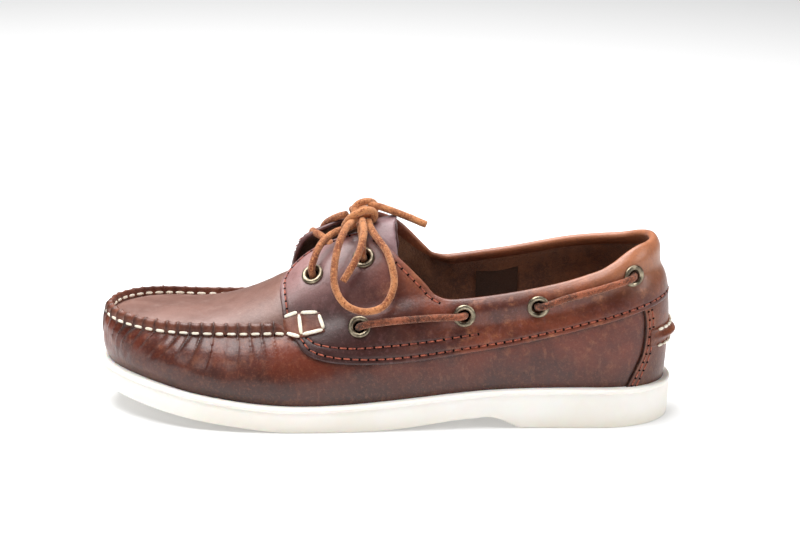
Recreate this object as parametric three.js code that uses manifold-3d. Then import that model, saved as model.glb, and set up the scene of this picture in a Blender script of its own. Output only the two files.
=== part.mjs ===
import * as THREE from 'three';
import { mergeVertices } from 'three/addons/utils/BufferGeometryUtils.js';
import Module from 'manifold-3d';

const wasm = await Module();
wasm.setup();

// Driving sizes, mm. The toe points to -X, the outer side of a left shoe to -Y.
const LENGTH = 300;
const WALL = 2.2;
const GAP = 0.3;
const FINEST = 0.05;
const COLLAR_CUT = 0.5;
const COLLAR_RISE = 6;
const OVERLAY = 1.4;
const INSOLE_THICK = 4.5;
const INSOLE_INSET = 9.3;
const SPINE_HEEL = 0.13;
const SPINE_TOE = 0.84;
const HEEL_CAP = 0.135;
const HEEL_POWER = 2.15;
const TOE_CAP = 0.19;
const TOE_POWER = 2.2;
const RIDGE_WIDTH = 3.4;
const RIDGE_HIGH = 5.2;
const RIDGE_FROM = 208;
const COLUMNS = 76;
const INNER_COLUMNS = 52;
const CENTRE_Y = 2.3;
const EYELET_OUTER = 5.4;
const EYELET_HOLE = 2.9;
const EYELET_HIGH = 1.5;
const LACE = 3.8;
const SLOT_HALF = 8;
const SLOT_FRONT = 198;
const SLOT_BACK = 150;
const CORD_SIDES = 8;
const SIDE_BAR_HIGH = 6.2;
const CROSSING_HIGH = 6.2;
const TONGUE_THICK = 2;
const TONGUE_RISE = 1.5;
const TONGUE_GAP = 1.7;
const KNOT = { s: 163, y: 3, z: 106.5, along: 7, across: 6, high: 4 };

const LEATHER = { color: 0x6b3524, roughness: 0.45, metalness: 0 };
const SADDLE = { color: 0x5a2b22, roughness: 0.4, metalness: 0 };
const RUBBER = { color: 0xeeeae0, roughness: 0.7, metalness: 0 };
const SOCK = { color: 0x9c6a42, roughness: 0.8, metalness: 0 };
const RAWHIDE = { color: 0xb06a38, roughness: 0.9, metalness: 0 };
const BRASS = { color: 0x8f7a52, roughness: 0.4, metalness: 1 };

// Sole outline: half widths of the outer and inner side along the length
const OUTLINE = rows('at outer inner', [
  [0.00, 36.5, 35.0],
  [0.08, 37.5, 36.2],
  [0.16, 38.8, 36.8],
  [0.26, 40.5, 36.2],
  [0.36, 43.5, 36.0],
  [0.46, 48.5, 37.2],
  [0.56, 53.3, 41.5],
  [0.66, 56.2, 47.5],
  [0.73, 56.2, 50.8],
  [0.80, 53.8, 51.8],
  [0.86, 49.6, 50.6],
  [0.93, 44.0, 47.5],
  [1.00, 38.5, 44.0],
]);

// Height of the sole's rim
const RIM = rows('at top', [
  [0.00, 20.3],
  [0.22, 20.7],
  [0.32, 19.7],
  [0.41, 17.5],
  [0.50, 15.1],
  [0.58, 13.6],
  [0.66, 13.3],
  [0.73, 14.6],
  [0.80, 17.1],
  [0.87, 20.2],
  [0.94, 23.0],
  [1.00, 25.3],
]);

// Height of the tread: heel rest, breast, arch, forefoot rest, toe spring
const TREAD = rows('s z', [
  [0, 0],
  [79, 0],
  [95, 6],
  [104, 5.4],
  [114, 4.5],
  [124, 3.2],
  [142, 1.0],
  [157, 0],
  [201, 0],
  [212, 0.9],
  [225, 2.3],
  [240, 4.0],
  [261, 6.8],
  [282, 10.0],
  [300, 13.2],
]);

// The last: insets from the rim along each ray, and heights of its seam line
const LAST = rows('at foot belly shoulder seam seamIn zOut zIn crest haunch', [
  [0.00, 4.7, 2.8, -0.5, 14.7, 14.7, 95.9, 95.9, 102.7, 0.50],
  [0.05, 5.0, 3.2, 0.3, 14.0, 14.0, 92.9, 92.4, 102.7, 0.50],
  [0.10, 5.7, 4.0, 1.9, 12.6, 12.4, 86.5, 89.9, 102.7, 0.50],
  [0.17, 5.3, 3.0, 3.2, 11.4, 10.7, 78.9, 87.7, 102.7, 0.50],
  [0.28, 5.3, 3.0, 4.8, 11.2, 9.2, 71.3, 81.3, 102.7, 0.50],
  [0.37, 5.3, 3.0, 5.6, 12.7, 9.2, 67.5, 76.9, 102.7, 0.50],
  [0.41, 5.3, 3.0, 6.0, 13.2, 9.2, 66.7, 74.9, 100.8, 0.50],
  [0.50, 5.3, 2.6, 6.2, 13.6, 10.7, 61.2, 65.7, 96.8, 0.50],
  [0.57, 5.3, 2.0, 6.4, 15.0, 13.2, 55.2, 58.2, 90.4, 0.52],
  [0.63, 5.3, 1.5, 6.0, 16.2, 14.6, 49.7, 51.2, 81.4, 0.60],
  [0.68, 5.3, 1.2, 5.4, 16.4, 15.2, 47.5, 48.2, 69.6, 0.62],
  [0.73, 5.3, 1.0, 5.2, 16.9, 15.8, 46.5, 46.9, 61.5, 0.62],
  [0.79, 5.3, 1.0, 4.8, 16.2, 15.6, 45.9, 46.1, 54.9, 0.60],
  [0.84, 5.0, 1.0, 4.2, 14.0, 14.0, 45.7, 45.9, 52.3, 0.60],
  [0.90, 4.8, 0.8, 3.0, 8.6, 9.0, 46.1, 46.3, 51.7, 0.60],
  [0.95, 4.6, 0.6, 1.8, 4.9, 5.4, 46.9, 47.1, 51.7, 0.60],
  [1.00, 4.4, 0.4, 0.8, 3.6, 3.8, 47.9, 47.9, 51.7, 0.60],
]);

// Side view of the saddle and collar band: front edge from the throat down
const SADDLE_FRONT = rows('s z', [
  [201.5, 90], [203.5, 69], [204.5, 64.7], [202.3, 54.5], [198.8, 48.6],
  [193.0, 43.6], [184.5, 40.6], [172.0, 39.0],
]);
const SADDLE_LOW = rows('s z', [
  [172, 39.0], [160, 38.8], [143, 39.6], [125, 41.6], [108, 44.2], [90, 47.8],
  [70, 52.0], [55, 55.4], [40, 58.6], [25, 61.4], [12, 64.2], [0, 67.2], [-8, 69.2],
]);
const COUNTER_FRONT = rows('s z', [
  [16.6, 66.5], [15.4, 55.1], [15.6, 45.6], [17.4, 37.0], [20.6, 28.4], [25.4, 17.0],
]);

// Eyelets: the throat pair, then the four along the band, placed on the form
const THROAT_EYELETS = rows('at h', [[0.625, 2.54], [0.541, 2.535]]);
const BAND_EYELETS = rows('at h', [
  [0.544, 0.893],
  [0.366, 0.789],
  [0.240, 0.789],
  [0.064, 0.809],
]);

// Bow of the throat lace
const LOOP_OUTER = rows('s y z', [
  [167, 9, 102], [171.5, 18, 99], [176, 30, 88], [176, 38, 73], [170, 42, 65],
  [160, 43, 62], [151, 42, 65], [146, 37, 75], [149, 29, 88], [158, 15, 98], [160, 9.5, 101.5],
]);
const LOOP_INNER = rows('s y z', [
  [171.5, 0.5, 102.5], [175.5, -3, 100.6], [180.5, -7.5, 97], [183.5, -14, 92.5], [182, -28, 87],
  [177, -34, 79], [170, -35, 77], [166, -31, 84], [167, -23, 93], [168, -13, 100], [167, -6.5, 103.5],
]);
const END_FRONT = rows('s y z', [[163, 12, 102.5], [162, 22, 97.5], [165, 31, 88], [172, 36, 76]]);
const END_BACK = rows('s y z', [
  [154.5, 2, 107.4], [146, 3, 104.8], [138.5, 4, 102.2], [130, 6, 99.2],
]);

function rows(names, data) {
  const keys = names.split(' ');
  return data.map((row) => Object.fromEntries(keys.map((key, i) => [key, row[i]])));
}

// Smooth curve through one column of a table
function curve(table, key, at, by = 'at') {
  const n = table.length;
  const x = Math.min(Math.max(at, table[0][by]), table[n - 1][by]);
  let i = 0;
  while (i < n - 2 && x > table[i + 1][by]) i += 1;
  const slope = (j) => {
    const a = Math.max(j - 1, 0);
    const b = Math.min(j + 1, n - 1);
    if (j === a || j === b) return (table[b][key] - table[a][key]) / (table[b][by] - table[a][by]);
    const before = (table[j][key] - table[a][key]) / (table[j][by] - table[a][by]);
    const after = (table[b][key] - table[j][key]) / (table[b][by] - table[j][by]);
    const share = (table[j][by] - table[a][by]) / (table[b][by] - table[a][by]);
    return before * (1 - share) + after * share;
  };
  const h = table[i + 1][by] - table[i][by];
  const t = (x - table[i][by]) / h;
  const start = (2 * t ** 3 - 3 * t ** 2 + 1) * table[i][key] + (t ** 3 - 2 * t ** 2 + t) * h * slope(i);
  const end = (-2 * t ** 3 + 3 * t ** 2) * table[i + 1][key] + (t ** 3 - t ** 2) * h * slope(i + 1);
  return start + end;
}

function straight(table, at) {
  let i = 0;
  while (i < table.length - 2 && at > table[i + 1].s) i += 1;
  const t = Math.min(Math.max((at - table[i].s) / (table[i + 1].s - table[i].s), 0), 1);
  return table[i].z + (table[i + 1].z - table[i].z) * t;
}

const clamp = (v, low, high) => Math.min(Math.max(v, low), high);

// Shoe coordinates: s forward from the heel, y out to the outer side, z up
const world = (s, y, z) => new THREE.Vector3(LENGTH / 2 - s, -y, z);

function halfWidth(at, side) {
  const heel = clamp(1 - at / HEEL_CAP, 0, 1);
  const toe = clamp(1 - (1 - at) / TOE_CAP, 0, 1);
  const cap = (1 - heel ** HEEL_POWER) ** (1 / HEEL_POWER) * (1 - toe ** TOE_POWER) ** (1 / TOE_POWER);
  return curve(OUTLINE, side > 0 ? 'outer' : 'inner', at) * cap;
}

// A point on the ray from the spine to the rim, at a distance in from the rim
function onRay(at, side, inset) {
  const hw = halfWidth(at, side);
  const c = clamp(at, SPINE_HEEL, SPINE_TOE) * LENGTH;
  const r = Math.hypot(at * LENGTH - c, hw);
  const f = r > 1e-6 ? Math.max(1 - inset / r, 0) : 0;
  return [c + (at * LENGTH - c) * f, side * hw * f, r];
}

const bezier = (t, a, b, c, d) => (1 - t) ** 3 * a + 3 * (1 - t) ** 2 * t * b
  + 3 * (1 - t) * t * t * c + t ** 3 * d;

// The last's surface: h 0-1 the wall, 1-2 the seam ridge, 2-3 the top
function lastPoint(at, side, h) {
  const v = (key) => curve(LAST, key, at);
  const rim = curve(RIM, 'top', at);
  const seamIn = v(side > 0 ? 'seam' : 'seamIn');
  const seamZ = v(side > 0 ? 'zOut' : 'zIn');
  const reach = onRay(at, side, 0)[2];
  let inset;
  let z;
  const innerIn = Math.min(seamIn + RIDGE_WIDTH, reach);
  const above = COLLAR_RISE * clamp((0.42 - at) / 0.05, 0, 1);
  const innerZ = seamZ + above + 1.6 * clamp((at - 0.5) / 0.1, 0, 1);
  if (h <= 1) {
    inset = bezier(h, v('foot'), v('belly'), v('shoulder'), seamIn);
    z = bezier(h, rim, rim + 0.35 * (seamZ - rim), rim + 0.72 * (seamZ - rim), seamZ);
  } else if (h <= 2) {
    const t = h - 1;
    const ridge = RIDGE_HIGH * clamp((at * LENGTH - RIDGE_FROM) / 4, 0, 1);
    inset = seamIn + (innerIn - seamIn) * t;
    z = seamZ + (innerZ - seamZ) * t + ridge * (1 - Math.abs(2 * t - 1) ** 3) ** (1 / 3);
  } else {
    const crest = curve(LAST, 'crest', clamp(at, SPINE_HEEL, SPINE_TOE));
    const left = reach - innerIn;
    const d = bezier(h - 2, left, left * 0.84, left * 0.54, 0);
    inset = reach - d;
    z = bezier(h - 2, innerZ, innerZ + v('haunch') * (crest - innerZ), crest, crest);
  }
  const [s, y] = onRay(at, side, inset);
  return world(s, y, z);
}

// theta runs round the shoe: 0 heel, pi toe, outer side first
function formPoint(theta, h, offset = 0) {
  const turn = ((theta % (2 * Math.PI)) + 2 * Math.PI) % (2 * Math.PI);
  const at = (1 - Math.cos(turn)) / 2;
  const side = turn <= Math.PI ? 1 : -1;
  const p = lastPoint(at, side, h);
  if (offset === 0) return p;
  return p.addScaledVector(formNormal(theta, h), offset);
}

function formNormal(theta, h) {
  if (h > 2.995) return new THREE.Vector3(0, 0, 1);
  const e = 0.012;
  const round = formPoint(theta + e, h).sub(formPoint(theta - e, h));
  const band = h <= 1 ? [0, 1] : h <= 2 ? [0.9, 2.1] : [2, 3];
  const up = formPoint(theta, Math.min(h + 0.04, band[1])).sub(formPoint(theta, Math.max(h - 0.04, band[0])));
  return up.cross(round).normalize();
}

const HEIGHTS = [0.12, 0.28, 0.46, 0.64, 0.82, 1];
const RIDGE_STEPS = [1.15, 1.5, 1.85, 2];
const TOP_STEPS = [2.2, 2.4, 2.6, 2.8, 3];

function cleanMesh(points, triangles) {
  const seen = new Map();
  const index = [];
  const verts = [];
  for (const p of points) {
    const key = [p.x, p.y, p.z].map((v) => Math.round(v * 2000)).join();
    if (!seen.has(key)) {
      seen.set(key, verts.length / 3);
      verts.push(p.x, p.y, p.z);
    }
    index.push(seen.get(key));
  }
  const tris = [];
  for (const [a, b, c] of triangles) {
    const t = [index[a], index[b], index[c]];
    if (t[0] !== t[1] && t[1] !== t[2] && t[0] !== t[2]) tris.push(...t);
  }
  return { verts, tris };
}

function solid(points, triangles) {
  const { verts, tris } = cleanMesh(points, triangles);
  const mesh = new wasm.Mesh({
    numProp: 3,
    vertProperties: new Float32Array(verts),
    triVerts: new Uint32Array(tris),
  });
  const body = new wasm.Manifold(mesh);
  if (body.volume() < 0) throw new Error('body is inside out');
  return body;
}

// Closed form: columns round the shoe, rings from the foot to the crest
function form(offset, drop, around, ridge = true) {
  const heights = ridge ? [...HEIGHTS, ...RIDGE_STEPS, ...TOP_STEPS] : [...HEIGHTS, 2, ...TOP_STEPS];
  const half = around / 2;
  const points = [];
  const thetas = Array.from({ length: around }, (_, i) => (2 * Math.PI * i) / around);
  for (const theta of thetas) {
    const base = formPoint(theta, 0, 0);
    const out = formNormal(theta, 0).setZ(0).normalize();
    const foot = base.clone().addScaledVector(out, offset);
    points.push(foot.setZ(curve(RIM, 'top', 0.5 - foot.x / LENGTH) - drop));
  }
  for (const h of heights) {
    for (const theta of thetas) points.push(formPoint(theta, h, offset));
  }
  const rings = heights.length + 1;
  const triangles = [];
  for (let r = 0; r < rings - 1; r += 1) {
    for (let i = 0; i < around; i += 1) {
      const a = r * around + i;
      const b = r * around + ((i + 1) % around);
      triangles.push([a, a + around, b + around], [a, b + around, b]);
    }
  }
  for (let i = 0; i < half; i += 1) {
    const mirror = (k) => (around - k) % around;
    triangles.push([i, i + 1, mirror(i + 1)], [i, mirror(i + 1), mirror(i)]);
  }
  return solid(points, triangles);
}

// Prism of a side-view outline, swept from one y to another
function prism(outline, y0, y1) {
  const pts = outline.map(([s, z]) => new THREE.Vector2(s, z));
  const shape = THREE.ShapeUtils.isClockWise(pts) ? pts.reverse() : pts;
  const faces = THREE.ShapeUtils.triangulateShape(shape, []);
  const n = shape.length;
  const points = [
    ...shape.map((p) => world(p.x, Math.min(y0, y1), p.y)),
    ...shape.map((p) => world(p.x, Math.max(y0, y1), p.y)),
  ];
  const triangles = [];
  for (const [a, b, c] of faces) {
    triangles.push([a, b, c], [n + a, n + c, n + b]);
  }
  for (let i = 0; i < n; i += 1) {
    const j = (i + 1) % n;
    triangles.push([i, n + i, n + j], [i, n + j, j]);
  }
  return oriented(points, triangles);
}

function oriented(points, triangles) {
  const volume = triangles.reduce((sum, [a, b, c]) => {
    const cross = new THREE.Vector3().crossVectors(points[b], points[c]);
    return sum + points[a].dot(cross) / 6;
  }, 0);
  return solid(points, volume > 0 ? triangles : triangles.map(([a, b, c]) => [a, c, b]));
}

// Straight-sided plug of a plan outline
function plan(outline, z0, z1) {
  const pts = outline.map(([s, y]) => new THREE.Vector2(s, y));
  const shape = THREE.ShapeUtils.isClockWise(pts) ? pts.reverse() : pts;
  const faces = THREE.ShapeUtils.triangulateShape(shape, []);
  const n = shape.length;
  const points = [
    ...shape.map((p) => world(p.x, p.y, z0)),
    ...shape.map((p) => world(p.x, p.y, z1)),
  ];
  const triangles = [];
  for (const [a, b, c] of faces) {
    triangles.push([a, c, b], [n + a, n + b, n + c]);
  }
  for (let i = 0; i < n; i += 1) {
    const j = (i + 1) % n;
    triangles.push([i, j, n + j], [i, n + j, n + i]);
  }
  return oriented(points, triangles);
}

// Slab between two height functions over the outline inset from the rim
function slab(stations, inset, low, high, edge = 0) {
  const points = [];
  const triangles = [];
  const across = 8;
  for (const at of stations) {
    const [so, yo] = onRay(at, 1, inset);
    const [si, yi] = onRay(at, -1, inset);
    const [sb, yb] = onRay(at, 1, inset + edge);
    const [sc, yc] = onRay(at, -1, inset + edge);
    points.push(
      world(sb, yb, low(sb)), world(so, yo, low(so) + edge), world(so, yo, high(so)),
      world((so + si) / 2, (yo + yi) / 2, high((so + si) / 2)),
      world(si, yi, high(si)), world(si, yi, low(si) + edge), world(sc, yc, low(sc)),
      world((sb + sc) / 2, (yb + yc) / 2, low((sb + sc) / 2)),
    );
  }
  for (let i = 0; i < stations.length - 1; i += 1) {
    for (let k = 0; k < across; k += 1) {
      const a = i * across + k;
      const b = i * across + ((k + 1) % across);
      triangles.push([a, b, b + across], [a, b + across, a + across]);
    }
  }
  return oriented(points, triangles);
}

function collarCutter(side) {
  const line = [];
  for (let i = 0; i <= 24; i += 1) {
    const at = 0.413 * (i / 24) ** 1.6;
    const p = lastPoint(at, side, 1);
    line.push([LENGTH / 2 - p.x, p.z - COLLAR_CUT]);
  }
  const [s0, z0] = line[0];
  const outline = [[-30, 180], [-30, z0], [s0 - 4, z0], ...line, [148.5, 99], [151, 106], [151, 180]];
  return prism(outline, -side * 0.4, side * 120);
}

function band(side, upperForm, lowerForm) {
  const shell = upperForm.subtract(lowerForm);
  const low = SADDLE_LOW.map((r) => [r.s, r.z]);
  const front = SADDLE_FRONT.map((r) => [r.s, r.z]);
  const outline = [...front, ...low.slice(1), [-20, 72.2], [-20, 150], [201.5, 150]];
  let body = shell.intersect(prism(outline, side * GAP / 2, side * 90));
  body = body.subtract(collarCutter(side));
  return body.subtract(throatSlot(1.2));
}

function throatSlot(more) {
  const half = SLOT_HALF + more;
  const outline = [[SLOT_BACK - 12, -half - 3]];
  for (let i = 0; i <= 8; i += 1) {
    const a = -Math.PI / 2 + (Math.PI * i) / 8;
    outline.push([SLOT_FRONT + more - half + half * Math.cos(a), half * Math.sin(a)]);
  }
  outline.push([SLOT_BACK - 12, half + 3]);
  return plan(outline, 62, 150);
}

// Ring seated on the form along its normal
function eyelet(theta, h) {
  const centre = formPoint(theta, h, 0);
  const axis = formNormal(theta, h);
  const lift = OVERLAY + 3 * GAP;
  const profile = [
    [EYELET_HOLE, 0], [EYELET_OUTER, 0], [EYELET_OUTER, EYELET_HIGH * 0.5],
    [(EYELET_HOLE + EYELET_OUTER) / 2, EYELET_HIGH], [EYELET_HOLE, EYELET_HIGH * 0.6], [EYELET_HOLE, 0],
  ].map(([x, y]) => new THREE.Vector2(x, y));
  const ring = new THREE.LatheGeometry(profile, 12);
  ring.applyQuaternion(new THREE.Quaternion().setFromUnitVectors(new THREE.Vector3(0, 1, 0), axis));
  const at = centre.clone().addScaledVector(axis, lift);
  ring.translate(at.x, at.y, at.z);
  return ring;
}

function cord(points, diameter, steps) {
  const path = new THREE.CatmullRomCurve3(points, false, 'centripetal');
  const shape = new THREE.Shape();
  for (let i = 0; i < CORD_SIDES; i += 1) {
    const a = (2 * Math.PI * i) / CORD_SIDES;
    const x = Math.cos(a) * diameter / 2;
    const y = Math.sin(a) * diameter / 2;
    if (i === 0) shape.moveTo(x, y);
    else shape.lineTo(x, y);
  }
  shape.closePath();
  return new THREE.ExtrudeGeometry(shape, { steps, bevelEnabled: false, extrudePath: path });
}

function bodyOf(geometry) {
  const g = bare(geometry);
  const pos = g.getAttribute('position');
  const points = Array.from({ length: pos.count }, (_, i) => new THREE.Vector3().fromBufferAttribute(pos, i));
  const triangles = [];
  for (let i = 0; i < g.index.count; i += 3) {
    triangles.push([g.index.getX(i), g.index.getX(i + 1), g.index.getX(i + 2)]);
  }
  return oriented(points, triangles);
}

function bare(geometry) {
  const g = new THREE.BufferGeometry();
  g.setAttribute('position', geometry.getAttribute('position').clone());
  if (geometry.index) g.setIndex(geometry.index.clone());
  return mergeVertices(g, 1e-4);
}

// The main body of a boolean's result, without slivers
function main(body) {
  return body.decompose().sort((a, b) => b.volume() - a.volume())[0].simplify(FINEST);
}

function geometryOf(body) {
  const mesh = main(body).getMesh();
  const g = new THREE.BufferGeometry();
  g.setAttribute('position', new THREE.BufferAttribute(new Float32Array(mesh.vertProperties), 3));
  g.setIndex(new THREE.BufferAttribute(new Uint32Array(mesh.triVerts), 1));
  return g;
}

const shoe = new THREE.Group();

function add(name, geometry, look) {
  const mesh = new THREE.Mesh(geometry, new THREE.MeshStandardMaterial(look));
  mesh.name = name;
  geometry.translate(0, CENTRE_Y, 0);
  shoe.add(mesh);
}

// Outsole and insole
const tread = (s) => straight(TREAD, s);
const rimTop = (s) => curve(RIM, 'top', s / LENGTH);
const ends = [0, 0.0008, 0.003, 0.008, 0.016, 0.03, 0.05, 0.08, 0.12];
const joints = TREAD.map((r) => r.s / LENGTH).filter((v) => v > 0.13 && v < 0.86);
const toeEnds = [0.14, 0.12, 0.1, 0.075, 0.05, 0.03, 0.016, 0.008, 0.003, 0.0008, 0];
const between = [0.17, 0.22, 0.555, 0.585, 0.615, 0.645];
const stations = [...ends, ...between, ...joints, ...toeEnds.map((v) => 1 - v)].sort((a, b) => a - b);
add('outsole', geometryOf(slab(stations, 0, tread, rimTop, 1)), RUBBER);

const board = slab(
  stations.filter((_, i) => i % 2 === 0),
  INSOLE_INSET,
  (s) => rimTop(s) + GAP,
  (s) => rimTop(s) + GAP + INSOLE_THICK,
);
add('insole', geometryOf(board), SOCK);

// Upper: one hollow form open at the collar, the throat and underneath
const outerForm = form(0, -GAP, COLUMNS);
const innerForm = form(-WALL, 8, INNER_COLUMNS, false);
const opening = collarCutter(1).add(collarCutter(-1));
const upper = outerForm.subtract(innerForm.add(opening).add(throatSlot(0)));
add('upper', geometryOf(upper), LEATHER);

// Overlays cut between two larger forms
const overlayOuter = form(GAP + OVERLAY, 0, COLUMNS);
const overlayInner = form(GAP, 6, COLUMNS);
add('saddle_outer', geometryOf(band(1, overlayOuter, overlayInner)), SADDLE);
add('saddle_inner', geometryOf(band(-1, overlayOuter, overlayInner)), SADDLE);

// Counter and kicker over the heel, below the band
const counterTop = [...SADDLE_LOW.filter((r) => r.s <= 12).map((r) => [r.s, r.z - 0.5]), [-20, 71.7]];
const counterLow = [[-20, 21.6], [27, 21.6]];
const counterLine = [...COUNTER_FRONT.slice(0, 5).map((r) => [r.s, r.z]), [24, 22.6]];
const counterOutline = [
  ...[...counterTop].reverse(), [16.6, 62.4], ...counterLine.slice(1),
  counterLow[1], counterLow[0],
];
const shell = overlayOuter.subtract(overlayInner);
const counter = shell.intersect(prism(counterOutline, -90, 90));
add('heel_counter', geometryOf(counter), LEATHER);

const kickerOuter = form(2 * GAP + 2 * OVERLAY, 0, COLUMNS);
const kickerInner = form(2 * GAP + OVERLAY, 6, COLUMNS);
const kickerOutline = [[0.4, 40.5], [11, 42], [11, 49.5], [0.4, 50]];
const kicker = kickerOuter.subtract(kickerInner).intersect(prism(kickerOutline, -60, 60));
add('heel_kicker', geometryOf(kicker), LEATHER);

// Tongue: a sheet under the top of the form, rising free behind the saddle
function tongueSheet() {
  const along = [0.7, 0.675, 0.645, 0.61, 0.575, 0.54, 0.515, 0.495, 0.472, 0.45];
  const across = [2.52, 2.62, 2.75, 2.88];
  const columns = [...across.map((h) => [1, h]), [1, 3], ...across.reverse().map((h) => [-1, h])];
  const points = [];
  for (const depth of [WALL + TONGUE_GAP, WALL + TONGUE_GAP + TONGUE_THICK]) {
    for (const at of along) {
      const free = clamp((0.495 - at) / 0.045, 0, 1);
      for (const [side, h] of columns) {
        const theta = side > 0 ? Math.acos(1 - 2 * at) : -Math.acos(1 - 2 * at);
        const p = formPoint(theta, h, -depth);
        const middle = 1 - (Math.abs(p.y) / 24) ** 2;
        points.push(new THREE.Vector3(p.x, p.y * (1 - 0.3 * free), p.z + TONGUE_RISE * free * middle));
      }
    }
  }
  const n = columns.length;
  const m = along.length;
  const triangles = [];
  const quad = (a, b, c, d) => triangles.push([a, b, c], [a, c, d]);
  for (let i = 0; i < m - 1; i += 1) {
    for (let k = 0; k < n - 1; k += 1) {
      const a = i * n + k;
      quad(a, a + 1, a + 1 + n, a + n);
      const b = a + m * n;
      quad(b, b + n, b + 1 + n, b + 1);
    }
  }
  const top = (i, k) => i * n + k;
  const low = (i, k) => m * n + i * n + k;
  for (let k = 0; k < n - 1; k += 1) {
    quad(top(0, k), low(0, k), low(0, k + 1), top(0, k + 1));
    quad(top(m - 1, k), top(m - 1, k + 1), low(m - 1, k + 1), low(m - 1, k));
  }
  for (let i = 0; i < m - 1; i += 1) {
    quad(top(i, 0), top(i + 1, 0), low(i + 1, 0), low(i, 0));
    quad(top(i, n - 1), low(i, n - 1), low(i + 1, n - 1), top(i + 1, n - 1));
  }
  return oriented(points, triangles);
}
add('tongue', geometryOf(tongueSheet()), LEATHER);

// Eyelets and the bars of lace between those on the band
const turnAt = (at, side) => side * Math.acos(1 - 2 * at);
for (const [side, where] of [[1, 'outer'], [-1, 'inner']]) {
  THROAT_EYELETS.forEach((e, i) => {
    add(`eyelet_throat_${where}_${i + 1}`, bare(eyelet(turnAt(e.at, side), e.h)), BRASS);
  });
  BAND_EYELETS.forEach((e, i) => {
    add(`eyelet_band_${where}_${i + 1}`, bare(eyelet(turnAt(e.at, side), e.h)), BRASS);
  });
  for (const [i, j] of [[0, 1], [2, 3]]) {
    const path = overSurface([BAND_EYELETS[i], BAND_EYELETS[j]], [side, side], SIDE_BAR_HIGH);
    add(`lace_bar_${where}_${i / 2 + 1}`, bare(cord(path, LACE, 12)), RAWHIDE);
  }
}

// Points over the form from one eyelet to another
function overSurface(stops, sides, high) {
  const [a, b] = stops.map((e, i) => ({ theta: turnAt(e.at, sides[i]), h: e.h }));
  const cross = sides[0] !== sides[1];
  const mid = (t) => {
    if (!cross) return [a.theta + (b.theta - a.theta) * t, a.h + (b.h - a.h) * t];
    const at = stops[0].at + (stops[1].at - stops[0].at) * t;
    const h = t < 0.5 ? a.h + (3 - a.h) * 2 * t : 3 - (3 - b.h) * (2 * t - 1);
    return [turnAt(at, t < 0.5 ? sides[0] : sides[1]), h];
  };
  const low = OVERLAY + 4 * GAP + EYELET_HIGH + 0.4;
  const steps = [0.05, 0.2, 0.35, 0.499, 0.65, 0.8, 0.95].map((t) => formPoint(...mid(t), high));
  return [formPoint(a.theta, a.h, low), ...steps, formPoint(b.theta, b.h, low)];
}

const crossing = [[1, -1], [-1, 1]]
  .map((sides) => bodyOf(cord(overSurface(THROAT_EYELETS, sides, CROSSING_HIGH), LACE, 14)))
  .reduce((a, b) => a.add(b));
add('lace_crossing', geometryOf(crossing), RAWHIDE);

// Bow: knot, loops and cut ends
const place = (table) => table.map((r) => world(r.s, r.y, r.z));
const knot = new THREE.SphereGeometry(1, 10, 8);
knot.scale(KNOT.along, KNOT.across, KNOT.high);
const knotAt = world(KNOT.s, KNOT.y, KNOT.z);
knot.translate(knotAt.x, knotAt.y, knotAt.z);
add('lace_knot', bare(knot), RAWHIDE);
add('lace_loop_outer', bare(cord(place(LOOP_OUTER), LACE, 32)), RAWHIDE);
add('lace_loop_inner', bare(cord(place(LOOP_INNER), LACE, 24)), RAWHIDE);
add('lace_end_front', bare(cord(place(END_FRONT), LACE, 9)), RAWHIDE);
add('lace_end_back', bare(cord(place(END_BACK), LACE, 6)), RAWHIDE);

export default shoe;
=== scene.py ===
"""A left boat shoe: every piece built on one last, with its leathers, laces and stitching."""

import math

import bmesh
import bpy
import numpy as np
from mathutils import Matrix, Vector

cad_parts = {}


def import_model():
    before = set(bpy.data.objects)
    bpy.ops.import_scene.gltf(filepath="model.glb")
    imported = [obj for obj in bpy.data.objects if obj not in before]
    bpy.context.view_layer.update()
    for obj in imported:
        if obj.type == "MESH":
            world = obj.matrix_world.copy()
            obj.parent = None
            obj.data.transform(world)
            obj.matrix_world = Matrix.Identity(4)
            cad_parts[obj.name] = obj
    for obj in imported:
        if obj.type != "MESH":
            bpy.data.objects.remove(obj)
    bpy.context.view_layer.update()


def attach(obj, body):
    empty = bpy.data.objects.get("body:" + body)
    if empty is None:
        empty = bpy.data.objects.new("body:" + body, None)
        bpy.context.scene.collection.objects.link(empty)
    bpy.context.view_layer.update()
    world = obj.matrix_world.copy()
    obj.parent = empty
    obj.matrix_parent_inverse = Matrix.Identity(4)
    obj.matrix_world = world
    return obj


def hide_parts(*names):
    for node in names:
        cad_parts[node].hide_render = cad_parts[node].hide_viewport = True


bl_info = {
    "name": "Boat shoe",
    "version": (1, 0, 0),
    "blender": (4, 5, 0),
    "location": "3D View > Sidebar > Boat shoe",
    "description": "Builds a leather boat shoe with a moccasin seam, collar lace and rubber sole",
    "category": "Add Mesh",
}

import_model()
BODY = "root"

# ---------------------------------------------------------------- the last, in millimetres
# s runs forward from the heel, y out to the outer side of the foot, z up.

LENGTH = 300.0
CENTRE_Y = 2.3
SPINE_HEEL, SPINE_TOE = 0.13, 0.84
HEEL_CAP, HEEL_POWER = 0.135, 2.15
TOE_CAP, TOE_POWER = 0.19, 2.2
RIDGE_WIDTH = 3.4
RIDGE_HIGH = 5.2
RIDGE_START, RIDGE_RISE = 0.655, 0.036
OUTER, INNER = 1, -1


def table(names, rows):
    """Columns of a table by name"""
    data = np.array(rows, float)
    return {name: data[:, i] for i, name in enumerate(names.split())}


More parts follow.
